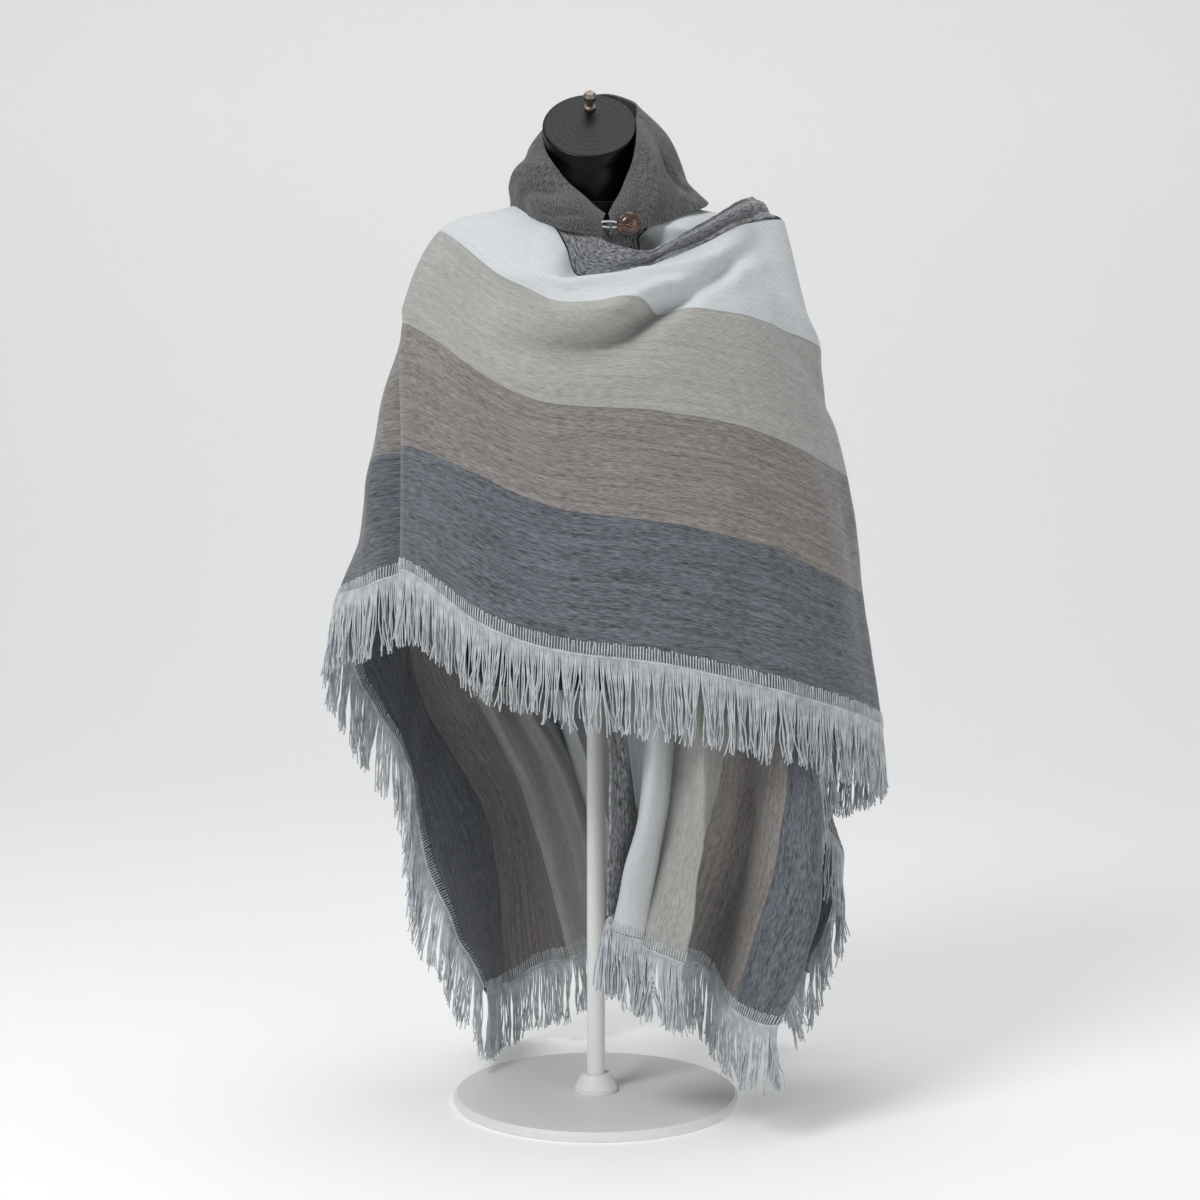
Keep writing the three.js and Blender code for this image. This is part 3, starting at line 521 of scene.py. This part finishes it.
def grey_mesh(name, surface, alongs, ups, upright=False):
    """A wall of the hood cloth; `upright` turns its weave to run up the wall."""
    flat = np.stack(np.meshgrid(alongs, ups, indexing="ij"), -1)
    along, up = flat[..., 0].ravel(), flat[..., 1].ravel()
    points = surface(along, up).reshape(*flat.shape[:2], 3)
    normals = sheet_normals(surface, along, up).reshape(points.shape)
    return cloth_mesh(name, points, normals, flat[..., ::-1] * 1.9 if upright else flat, HOOD)


# The same wool as the dark stripe but browner and in longer flecks, with near-black and pale fibres.
# The hood and the bands are one cloth in two copies that differ only in brightness: painted shade makes the
# hood's copy darker, and painted light makes the bands' copy paler.
def melange(name, low, high):
    cloth, tree, shader = new_material(name)
    flat_place = add_node(tree, "ShaderNodeUVMap", uv_map="flat_cloth").outputs["UV"]
    fleck_place = add_node(tree, "ShaderNodeMapping", {"Vector": flat_place,
                                                       "Scale": (1 / 0.011, 1 / 0.0022, 1)})
    flecks = add_node(tree, "ShaderNodeTexNoise", {"Vector": fleck_place.outputs[0], "Scale": 1, "Detail": 3,
                                                   "Roughness": 0.65}).outputs["Fac"]
    mottle = add_node(tree, "ShaderNodeMapRange", {"Value": flecks, "From Min": 0.36,
                                                   "From Max": 0.66}).outputs[0]
    colour = add_node(tree, "ShaderNodeMix", {0: mottle, 6: linear(low), 7: linear(high)},
                      data_type="RGBA").outputs[2]
    bump = add_node(tree, "ShaderNodeBump", {"Height": mottle, "Strength": 0.4, "Distance": 0.0011})
    tree.links.new(colour, shader.inputs["Base Color"])
    tree.links.new(bump.outputs[0], shader.inputs["Normal"])
    shader.inputs["Roughness"].default_value = 0.95
    shader.inputs["Sheen Weight"].default_value = 0.2
    shader.inputs["Sheen Roughness"].default_value = 0.55
    shader.inputs["Specular IOR Level"].default_value = 0.2
    return cloth


# Lit and shaded copies of one cloth: painted shade on the hood, painted light on the bands.
hood_grey_painted_darker = melange("woven_grey_melange_wool_painted_darker", "#232424", "#6d6e6e")
band_grey_painted_paler = melange("woven_grey_melange_wool_painted_paler", "#3e3f41", "#9fa1a4")
hood = put_in_scene("hood_cloth", grey_mesh("hood_cloth", hood_surface, np.linspace(0, 0.5, 260),
                                            np.linspace(0, 0.075, 64), upright=True), hood_grey_painted_darker)
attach(hood, "root")
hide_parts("hood")

# ---- The front bands ----
# A 45 mm strip of the hood cloth finishes each edge of the slit. The right one is carried over the
# left shoulder along the top of the thrown front; the left one hangs, twists and ends in a tassel.
BAND_WIDTH = 0.045
ANGLED_SEAM = 0.0022
thrown_band_edge = [
    (148, (3, -94, 1053)), (230, (16, -102, 1042)), (300, (50, -104, 1034)), (360, (72, -98, 1036)),
    (480, (126, -70, 1067)), (590, (177, -6, 1097)), (680, (180, 58, 1084)), (790, (66, 142, 962)),
    (900, (-68, 190, 772)),
]
hanging_band_edge = [
    (76, (5, -91, 1070)), (95, (5, -90, 1050)), (150, (8, -84, 1004)), (300, (0, -122, 855)),
    (500, (2, -142, 655)),
    (700, (16, -158, 458)), (900, (14, -146, 264)),
]
thrown_band_folds = [
    dict(path=[(250, 12), (420, 14), (640, 12), (860, 16)], width=7, height=-4),
    dict(path=[(230, 28), (400, 30), (560, 26), (720, 30)], width=8, height=5),
    dict(path=[(330, 38), (480, 40), (620, 38)], width=6, height=-3),
]
hanging_band_folds = [
    dict(path=[(420, 10), (560, 32), (700, 12), (880, 34)], width=9, height=7),
    dict(path=[(450, 34), (600, 12), (740, 34), (890, 14)], width=8, height=-6),
]


def band_surface(cloth, edge_rows):
    knots = [row[0] / 1000 for row in edge_rows]
    edge = np.array([row[1] for row in edge_rows]) / 1000

    def surface(along, over):
        seam = cloth(along, np.full(len(along), BAND_SEAM))
        free = knot_shares(knots, along) @ edge
        width = np.linalg.norm(free - seam, axis=1)
        t = ANGLED_SEAM / width + (1 - ANGLED_SEAM / width) * over / BAND_WIDTH
        return seam + t[:, None] * (free - seam)
    return surface


for node, cloth, edge_rows, folds, out, first in (
        ("right_front_band", thrown, thrown_band_edge, thrown_band_folds, 1, 0.132),
        ("left_front_band", hanging, hanging_band_edge, hanging_band_folds, -1, 0.076)):
    surface = with_folds(band_surface(cloth, edge_rows), folds, out, 21)
    mesh = grey_mesh(node + "_cloth", surface, np.linspace(first, FRONT, 240), np.linspace(0, BAND_WIDTH, 20))
    band = put_in_scene(node + "_cloth", mesh, band_grey_painted_paler)
    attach(band, "root")
    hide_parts(node)

# ---- Blanket stitch and edge cord ----
# Off-white acrylic yarn. Blanket stitches 13 mm deep and 3.4 mm apart wrap both side edges and the
# hems, and a two-ply cord runs along their feet, from which the fringe hangs.
TOOTH_DEPTH = 0.013
TOOTH_SPACING = 0.0034
CORD_PITCH = 0.0065


def edge_of(cloth, place, spacing):
    """Evenly spaced places along one cloth edge: the points, the way off the edge, the way along it
    and the way out of the cloth's face. `place` gives (along, across) at a share of the edge's length and a
    distance in from it."""
    share = np.linspace(0, 1, 900)
    line = cloth(*place(share, 0))
    length = np.concatenate([[0], np.cumsum(np.linalg.norm(np.diff(line, axis=0), axis=1))])
    share = np.interp(np.arange(0, length[-1], spacing), length, share)
    edge = cloth(*place(share, 0))
    leave = edge - cloth(*place(share, TOOTH_DEPTH))
    run = np.gradient(edge, axis=0)
    leave, run = (v / np.linalg.norm(v, axis=1, keepdims=True) for v in (leave, run))
    face = np.cross(run, leave)
    return share, edge, leave, run, face / np.linalg.norm(face, axis=1, keepdims=True)


def straight(first, last):
    return lambda share, inn: (first + (last - first) * share, np.full(len(share), float(inn)))


def across_hem(reach, first, last):
    return lambda share, inn: (np.full(len(share), reach - inn), first + (last - first) * share)


def far_side(share, inn):
    return 0.001 + (BACK - 0.007) * share, np.full(len(share), 2 * MIDDLE - inn)


# Each edge: the cloth, where the edge lies on it, how far its fringe reaches, and how much the fringe
# leans off the edge as it hangs.
edges = {
    "fringe_right_side_front": (thrown, straight(0.001, FRONT - 0.006), 0.086, 0.12),
    "fringe_right_side_back": (back, straight(0.001, BACK - 0.006), 0.088, 0.42),
    "fringe_back_hem": (back, across_hem(BACK, 0.008, 2 * MIDDLE - 0.008), 0.086, 0.1),
    "fringe_left_side_back": (back, far_side, 0.080, 0.42),
    "fringe_left_side_front": (hanging, straight(0.001, FRONT - 0.006), 0.080, 0.40),
    "fringe_left_front_hem": (hanging, across_hem(FRONT, 0.008, BAND_SEAM - 0.026), 0.086, 0.1),
    "fringe_right_front_hem": (thrown, across_hem(FRONT, 0.008, BAND_SEAM - 0.008), 0.086, 0.1),
}

# A tree that spins a yarn along every path it is given, a little thicker and thinner as spun yarn is.
yarn_tree = bpy.data.node_groups.new("yarn_along_paths", "GeometryNodeTree")
yarn_tree.interface.new_socket("Paths", in_out="INPUT", socket_type="NodeSocketGeometry")
yarn_inputs = {name: yarn_tree.interface.new_socket(name, in_out="INPUT", socket_type=kind).identifier
               for name, kind in (("Yarn Radius", "NodeSocketFloat"), ("Sides", "NodeSocketInt"),
                                  ("Unevenness", "NodeSocketFloat"), ("Seed", "NodeSocketInt"),
                                  ("Material", "NodeSocketMaterial"))}
yarn_tree.interface.new_socket("Yarn", in_out="OUTPUT", socket_type="NodeSocketGeometry")
given = yarn_tree.nodes.new("NodeGroupInput")
least = add_node(yarn_tree, "ShaderNodeMath", {0: 1.0, 1: given.outputs["Unevenness"]}, operation="SUBTRACT")
most = add_node(yarn_tree, "ShaderNodeMath", {0: 1.0, 1: given.outputs["Unevenness"]}, operation="ADD")
uneven = add_node(yarn_tree, "FunctionNodeRandomValue", {2: least.outputs[0], 3: most.outputs[0],
                                                         "Seed": given.outputs["Seed"]}, data_type="FLOAT")
radius = add_node(yarn_tree, "ShaderNodeMath", {0: uneven.outputs[1], 1: given.outputs["Yarn Radius"]},
                  operation="MULTIPLY")
paths = add_node(yarn_tree, "GeometryNodeMeshToCurve", {"Mesh": given.outputs["Paths"]})
ring = add_node(yarn_tree, "GeometryNodeCurvePrimitiveCircle",
                {"Resolution": given.outputs["Sides"], "Radius": 1.0})
spun = add_node(yarn_tree, "GeometryNodeCurveToMesh",
                {"Curve": paths.outputs[0], "Profile Curve": ring.outputs[0],
                 "Scale": radius.outputs[0], "Fill Caps": True})
smooth = add_node(yarn_tree, "GeometryNodeSetShadeSmooth", {"Geometry": spun.outputs[0]})
real = add_node(yarn_tree, "GeometryNodeRealizeInstances", {"Geometry": smooth.outputs[0]})
dressed = add_node(yarn_tree, "GeometryNodeSetMaterial", {"Geometry": real.outputs[0],
                                                          "Material": given.outputs["Material"]})
yarn_tree.links.new(dressed.outputs[0], yarn_tree.nodes.new("NodeGroupOutput").inputs[0])


def spin_yarn(name, lines, radius, material, sides=5, unevenness=0.12, seed=1):
    """Yarns along `lines`, a list of arrays of points, as one plain mesh object."""
    points = np.concatenate(lines)
    ends = np.cumsum([len(line) for line in lines])
    joined = np.delete(np.arange(len(points) - 1), ends[:-1] - 1)
    mesh = bpy.data.meshes.new(name)
    mesh.from_pydata(points.tolist(), np.stack([joined, joined + 1], 1).tolist(), [])
    piece = put_in_scene(name, mesh)
    spinner = piece.modifiers.new("yarn", "NODES")
    spinner.node_group = yarn_tree
    for socket, value in (("Yarn Radius", radius), ("Sides", sides), ("Unevenness", unevenness),
                          ("Seed", seed), ("Material", material)):
        spinner[yarn_inputs[socket]] = value
    done = bpy.data.meshes.new_from_object(piece.evaluated_get(bpy.context.evaluated_depsgraph_get()))
    piece.modifiers.remove(spinner)
    piece.data = done
    turn_outwards(done)
    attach(piece, "root")
    return piece


# Bulky acrylic yarn: soft, matt, slightly uneven off-white. Its colour wanders at random towards a greyer
# tone and carries a blue cast; both the grey and the blue are painted shade.
white_yarn, tree, shader = new_material("off_white_acrylic_yarn")
where = add_node(tree, "ShaderNodeTexCoord").outputs["Object"]
shade = add_node(tree, "ShaderNodeTexNoise", {"Vector": where, "Scale": 90.0, "Detail": 3}).outputs["Fac"]
shade = add_node(tree, "ShaderNodeMapRange", {"Value": shade, "From Min": 0.3, "From Max": 0.7}).outputs[0]
# The greyer end of this mix and the blue cast of both ends are painted shade, scattered at random over the
# yarn.
colour = add_node(tree, "ShaderNodeMix", {0: shade, 6: linear("#abb1b6"), 7: linear("#d1d7db")},
                  data_type="RGBA").outputs[2]
# Twist of the yarn, one turn in about 2 mm.
twist = add_node(tree, "ShaderNodeTexNoise", {"Vector": where, "Scale": 520.0, "Detail": 1}).outputs["Fac"]
bump = add_node(tree, "ShaderNodeBump", {"Height": twist, "Strength": 0.35, "Distance": 0.0006})
tree.links.new(colour, shader.inputs["Base Color"])
tree.links.new(bump.outputs[0], shader.inputs["Normal"])
shader.inputs["Roughness"].default_value = 0.85
shader.inputs["Sheen Weight"].default_value = 0.3
shader.inputs["Specular IOR Level"].default_value = 0.25

teeth, cords = [], []
chance = np.random.default_rng(31)
for cloth, place, reach, lean in edges.values():
    share, edge, leave, run, face = edge_of(cloth, place, TOOTH_SPACING)
    off = CLOTH / 2 + 0.0005
    depth = TOOTH_DEPTH * chance.uniform(0.9, 1.1, len(share))
    slant = chance.normal(0, 0.0005, len(share))
    rise = []
    for side, steps in ((1, (1, 0.66, 0.33, 0)), (-1, (0, 0.33, 0.66, 1))):
        for step in steps:
            inward = np.maximum(depth * step, 1e-6)
            along, across = place(share, 0)
            deep_along, deep_across = place(share, TOOTH_DEPTH)
            part = inward / TOOTH_DEPTH
            point = cloth(along + (deep_along - along) * part, across + (deep_across - across) * part)
            past_edge = 0.0008 if step == 0 else 0
            rise.append(point + side * off * face + (slant * step)[:, None] * run + past_edge * leave)
        if side == 1:
            rise.append(edge + 0.0024 * leave)
    teeth.extend(np.stack(rise, 1))
    share, edge, leave, run, face = edge_of(cloth, place, CORD_PITCH / 4)
    turn = np.arange(len(share)) * math.pi / 2
    for ply in (0, math.pi):
        cords.append(edge + 0.0026 * leave + 0.00095 * (np.cos(turn + ply)[:, None] * face
                                                        + np.sin(turn + ply)[:, None] * leave))
stitches = spin_yarn("blanket_stitches", teeth, 0.00085, white_yarn, sides=4)
edge_cord = spin_yarn("edge_cord", cords, 0.00125, white_yarn, sides=6)

# ---- Fringe ----
# The same yarn, knotted along the edge cord about 1.6 mm apart and left uncut in loose locks 85 mm
# long. Neighbouring yarns gather a little towards their ends, and each lock sways its own way.
YARN_SPACING = 0.0016


def hanging_yarns(cloth, place, reach, lean, seed):
    share, edge, leave, run, face = edge_of(cloth, place, YARN_SPACING)
    chance = np.random.default_rng(seed)
    count = len(share)
    sizes = chance.integers(3, 9, count)
    lock = np.repeat(np.arange(count), sizes)[:count]
    per_lock = lambda values: values[lock]
    middle = np.array([edge[lock == k].mean(0) for k in range(lock.max() + 1)])[lock]
    sway_along = per_lock(chance.normal(0, 0.006, count)) + chance.normal(0, 0.0028, count)
    sway_out = per_lock(chance.normal(0.001, 0.004, count)) + chance.normal(0, 0.0022, count)
    stray = chance.random(count) < 0.05
    sway_along = np.where(stray, sway_along + chance.normal(0, 0.010, count), sway_along)
    cling = per_lock(chance.uniform(0.2, 0.65, count)) * np.where(stray, 0.2, 1)
    length = reach * per_lock(chance.uniform(0.9, 1.05, count)) * chance.uniform(0.93, 1.03, count)
    wave = chance.uniform(0.8, 2.8, count) / 1000
    phase = chance.uniform(0, 2 * math.pi, (2, count))
    hops = 8
    point = edge + 0.003 * leave
    down = np.array([0, 0, -1.0])
    line = [point]
    for hop in range(hops):
        u = (hop + 0.5) / hops
        weight = min(1, 0.25 + 3.2 * u)
        way = leave * (1 - weight + lean * weight * (1 - 0.35 * u)) + down * weight
        point = point + way / np.linalg.norm(way, axis=1, keepdims=True) * (length / hops)[:, None]
        line.append(point)
    for hop in range(1, hops + 1):
        u = hop / hops
        swing = (sway_along * u ** 1.5 + wave * u * np.sin(9 * u + phase[0]))[:, None] * run
        swing = swing + (sway_out * u ** 1.5 + wave * u * np.sin(8 * u + phase[1]))[:, None] * face
        line[hop] = line[hop] + swing + (cling * u ** 1.3)[:, None] * (middle - edge)
    return list(np.stack(line, 1))


for seed, (node, (cloth, place, reach, lean)) in enumerate(edges.items()):
    yarns = hanging_yarns(cloth, place, reach, lean, 50 + seed)
    spin_yarn(node + "_yarns", yarns, 0.00078, white_yarn, sides=5, seed=seed)
    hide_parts(node)

# ---- Button, loop and tassel ----
# A 28 mm turned button of dark lacquered wood closes the neck. Two cords of the white yarn make its
# loop; more of the yarn is tied into a tassel under the end of the left band.
BUTTON_AT = Vector((0.038, -0.109, 1.063))
profile = [(0, -4), (9, -4), (12.4, -2.9), (13.7, -1.2), (14, 0), (13.8, 1.3), (13.1, 2.4), (12.0, 3.2),
           (10.8, 3.4), (9.6, 3.1), (8.6, 3.2), (7, 3.9), (5, 4.4), (2.5, 4.6), (0, 4.65)]
holes = [(-2.6, 0.6), (2.6, -0.6)]
HOLE_DEPTH = 2.6
around = 72
rings = []
for k in range(len(profile) - 1):
    (r0, h0), (r1, h1) = profile[k], profile[k + 1]
    rings += [(r0 + (r1 - r0) * t, h0 + (h1 - h0) * t) for t in np.linspace(0, 1, 5)[:-1]]
work = bmesh.new()
loops = []
for r, h in rings[1:]:
    loop = []
    for k in range(around):
        x, z = r * math.cos(2 * math.pi * k / around), r * math.sin(2 * math.pi * k / around)
        near_hole = sum(math.exp(-(((x - hx) ** 2 + (z - hz) ** 2) / 1.1) ** 2) for hx, hz in holes)
        sink = HOLE_DEPTH * near_hole if h > 2 else 0
        loop.append(work.verts.new(BUTTON_AT + Vector((x, -(h - sink), z)) / 1000))
    loops.append(loop)
for low, high in zip(loops, loops[1:]):
    for k in range(around):
        work.faces.new((low[k], low[(k + 1) % around], high[(k + 1) % around], high[k]))
work.faces.new(loops[0][::-1])
centre = work.verts.new(BUTTON_AT + Vector((0, -0.00465, 0)))
for k in range(around):
    work.faces.new((loops[-1][k], loops[-1][(k + 1) % around], centre))
bmesh.ops.recalc_face_normals(work, faces=work.faces)
mesh = bpy.data.meshes.new("button_wood")
work.to_mesh(mesh)
work.free()
mesh.shade_smooth()
# Stained hardwood under clear lacquer: nearly black brown with a lighter fleck of grain, glossy.
button_wood, tree, shader = new_material("lacquered_stained_wood")
where = add_node(tree, "ShaderNodeTexCoord").outputs["Object"]
grain_place = add_node(tree, "ShaderNodeMapping", {"Vector": where, "Rotation": (0, math.radians(35), 0),
                                                   "Scale": (1 / 0.012, 1 / 0.006, 1 / 0.0025)})
grain = add_node(tree, "ShaderNodeTexNoise", {"Vector": grain_place.outputs[0], "Scale": 1,
                                              "Detail": 5}).outputs["Fac"]
grain = add_node(tree, "ShaderNodeMapRange", {"Value": grain, "From Min": 0.45, "From Max": 0.72}).outputs[0]
colour = add_node(tree, "ShaderNodeMix", {0: grain, 6: linear("#2a1815"), 7: linear("#7a4a30")},
                  data_type="RGBA").outputs[2]
tree.links.new(colour, shader.inputs["Base Color"])
shader.inputs["Roughness"].default_value = 0.3
shader.inputs["Coat Weight"].default_value = 0.8
shader.inputs["Coat Roughness"].default_value = 0.12
button = put_in_scene("button_wood", mesh, button_wood)
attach(button, "root")
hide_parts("button")

loop_line = np.array([(7, -99.2, 1066), (16, -101, 1066.4), (25, -102.8, 1065), (28.5, -103.2, 1062.6),
                      (25, -102.8, 1060.2), (16, -101, 1059.6), (7, -99.2, 1061)]) / 1000
loop_knots = np.arange(len(loop_line), dtype=float)
walk = knot_shares(loop_knots, np.linspace(0, len(loop_line) - 1, 60)) @ loop_line
turn = np.arange(60) * math.pi / 2.6
plies = [walk + 0.0006 * np.stack([0 * turn, np.cos(turn + ply), np.sin(turn + ply)], 1)
         for ply in (0, math.pi)]
button_loop = spin_yarn("button_loop_cord", plies, 0.0008, white_yarn, sides=6)
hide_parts("button_loop")

tassel_low, tassel_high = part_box("tassel_left_band")
tassel_top = Vector(((tassel_low[0] + tassel_high[0]) / 2, (tassel_low[1] + tassel_high[1]) / 2,
                     tassel_high[2]))
chance = np.random.default_rng(77)
strands = []
for k in range(90):
    angle = k * 2.39996
    ring_share = math.sqrt((k + 0.5) / 90)
    heights = np.array([0, -4, -9, -16, -24, -40, -60, -92 * chance.uniform(0.9, 1.02)]) / 1000
    widths = np.array([2, 5, 4.4, 7.4, 8.4, 9.5, 11, 12]) / 1000 * ring_share
    drift = chance.normal(0, 0.0018, (len(heights), 2)).cumsum(0) * np.linspace(0, 1, len(heights))[:, None]
    strands.append(np.stack([tassel_top.x + widths * math.cos(angle) + drift[:, 0],
                             tassel_top.y + widths * math.sin(angle) + drift[:, 1],
                             tassel_top.z + heights], 1))
wrap_turn = np.linspace(0, 2 * math.pi * 5, 90)
strands.append(np.stack([tassel_top.x + 0.0056 * np.cos(wrap_turn), tassel_top.y + 0.0056 * np.sin(wrap_turn),
                         tassel_top.z - 0.0075 - 0.0011 * wrap_turn / (2 * math.pi)], 1))
tassel = spin_yarn("tassel_yarns", strands, 0.0009, white_yarn, sides=5)
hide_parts("tassel_left_band")

# ---- The display form ----
# A limbless torso moulded in black plastic, with a slanted oval cap on the neck. A short knobbed
# steel stem stands on the cap. The cloth rests on its shoulders.
FORM_AROUND = 128
torso_rows = [
    (520, 140, 88, 0, 0), (528, 152, 96, 0, 0), (570, 154, 97, 2, 0), (630, 136, 89, 2, 0),
    (690, 122, 84, 0, 0), (790, 134, 94, -4, 0), (890, 148, 98, -6, 0), (970, 160, 84, -2, 0),
    (1020, 168, 68, 6, 0), (1048, 156, 56, 8, 0), (1066, 120, 50, 8, 0), (1078, 80, 44, 2, 0),
    (1092, 60, 42, 0, 0),
]
neck_rows = [
    (1092.4, 56, 42, 2, 0), (1112, 52, 44, 0, 2), (1140, 51, 45, 0, 14), (1168, 54, 47, 0, 34),
    (1180, 56, 48, 0, 38.8), (1182.4, 55.6, 47.6, 0, 38.8), (1183.6, 54.6, 46.6, 0, 38.4),
    (1184, 53, 45, 0, 38),
]


def oval_stack(name, rows, x, material, grooved=False):
    """Oval sections (height, half width, half depth, middle, slant), closed at both ends in rings. Grooves
    are turned marks on the upper end."""
    table = np.array(rows, float)
    knots = np.arange(len(rows), dtype=float)
    sections = list(knot_shares(knots, np.linspace(0, len(rows) - 1, 10 * len(rows))) @ table)
    ends = []
    for section, sign in ((sections[0], -1), (sections[-1], 1)):
        shrink = np.linspace(0.97, 0.02, 34)
        depth = 0.14 * np.cos(shrink * 46) * (shrink > 0.3) if grooved and sign > 0 else 0 * shrink
        ends.append([(section[0] + dip, section[1] * s, section[2] * s, section[3], section[4] * s)
                     for s, dip in zip(shrink, depth)])
    sections = ends[0][::-1] + sections + ends[1]
    turn = np.linspace(0, 2 * math.pi, FORM_AROUND, endpoint=False)
    points = np.concatenate([
        np.stack([x + wide * np.cos(turn), mid + deep * np.sin(turn), up + slant * np.sin(turn)], 1)
        for up, wide, deep, mid, slant in sections])
    at = np.arange(len(points)).reshape(-1, FORM_AROUND)
    beside = np.roll(at, -1, axis=1)
    faces = np.stack([at[:-1], beside[:-1], beside[1:], at[1:]], -1).reshape(-1, 4).tolist()
    faces += [at[0, ::-1].tolist(), at[-1].tolist()]
    mesh = bpy.data.meshes.new(name)
    mesh.from_pydata((points / 1000).tolist(), [], faces)
    turn_outwards(mesh)
    mesh.shade_smooth()
    return put_in_scene(name, mesh, material)


# Moulded ABS with a satin gloss: black, with very slight ripples from the mould.
form_plastic, tree, shader = new_material("moulded_black_plastic")
where = add_node(tree, "ShaderNodeTexCoord").outputs["Object"]
swell = add_node(tree, "ShaderNodeTexNoise", {"Vector": where, "Scale": 38.0, "Detail": 2}).outputs["Fac"]
scuff = add_node(tree, "ShaderNodeTexNoise", {"Vector": where, "Scale": 160.0, "Detail": 4}).outputs["Fac"]
rough = add_node(tree, "ShaderNodeMapRange", {"Value": scuff, "To Min": 0.3, "To Max": 0.46}).outputs[0]
bump = add_node(tree, "ShaderNodeBump", {"Height": swell, "Strength": 0.2, "Distance": 0.002})
tree.links.new(rough, shader.inputs["Roughness"])
tree.links.new(bump.outputs[0], shader.inputs["Normal"])
shader.inputs["Base Color"].default_value = linear("#050506")
shader.inputs["Specular IOR Level"].default_value = 0.22
for node, rows, x, grooved in (("form_torso", torso_rows, -2, False), ("form_neck", neck_rows, -7, True)):
    form = oval_stack(node + "_shell", rows, x, form_plastic, grooved)
    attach(form, "root")
    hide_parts(node)

# ---- Stem and stand ----
# A dull steel stem with a turned knob; a white powder-coated pole, collar and round foot.
stem_steel, tree, shader = new_material("dull_turned_steel")
where = add_node(tree, "ShaderNodeTexCoord").outputs["Object"]
wear = add_node(tree, "ShaderNodeTexNoise", {"Vector": where, "Scale": 240.0, "Detail": 4}).outputs["Fac"]
rough = add_node(tree, "ShaderNodeMapRange", {"Value": wear, "To Min": 0.34, "To Max": 0.6}).outputs[0]
tree.links.new(rough, shader.inputs["Roughness"])
shader.inputs["Metallic"].default_value = 1
shader.inputs["Base Color"].default_value = linear("#8c8378")
stand_paint, tree, shader = new_material("white_powder_coat")
where = add_node(tree, "ShaderNodeTexCoord").outputs["Object"]
peel = add_node(tree, "ShaderNodeTexNoise", {"Vector": where, "Scale": 650.0, "Detail": 2}).outputs["Fac"]
bump = add_node(tree, "ShaderNodeBump", {"Height": peel, "Strength": 0.15, "Distance": 0.0004})
tree.links.new(bump.outputs[0], shader.inputs["Normal"])
shader.inputs["Base Color"].default_value = linear("#ebebe9")
shader.inputs["Roughness"].default_value = 0.5
for node, material in (("form_stem", stem_steel), ("stand_base", stand_paint), ("stand_collar", stand_paint),
                       ("stand_pole", stand_paint)):
    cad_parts[node].data.materials.clear()
    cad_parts[node].data.materials.append(material)

low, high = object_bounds()
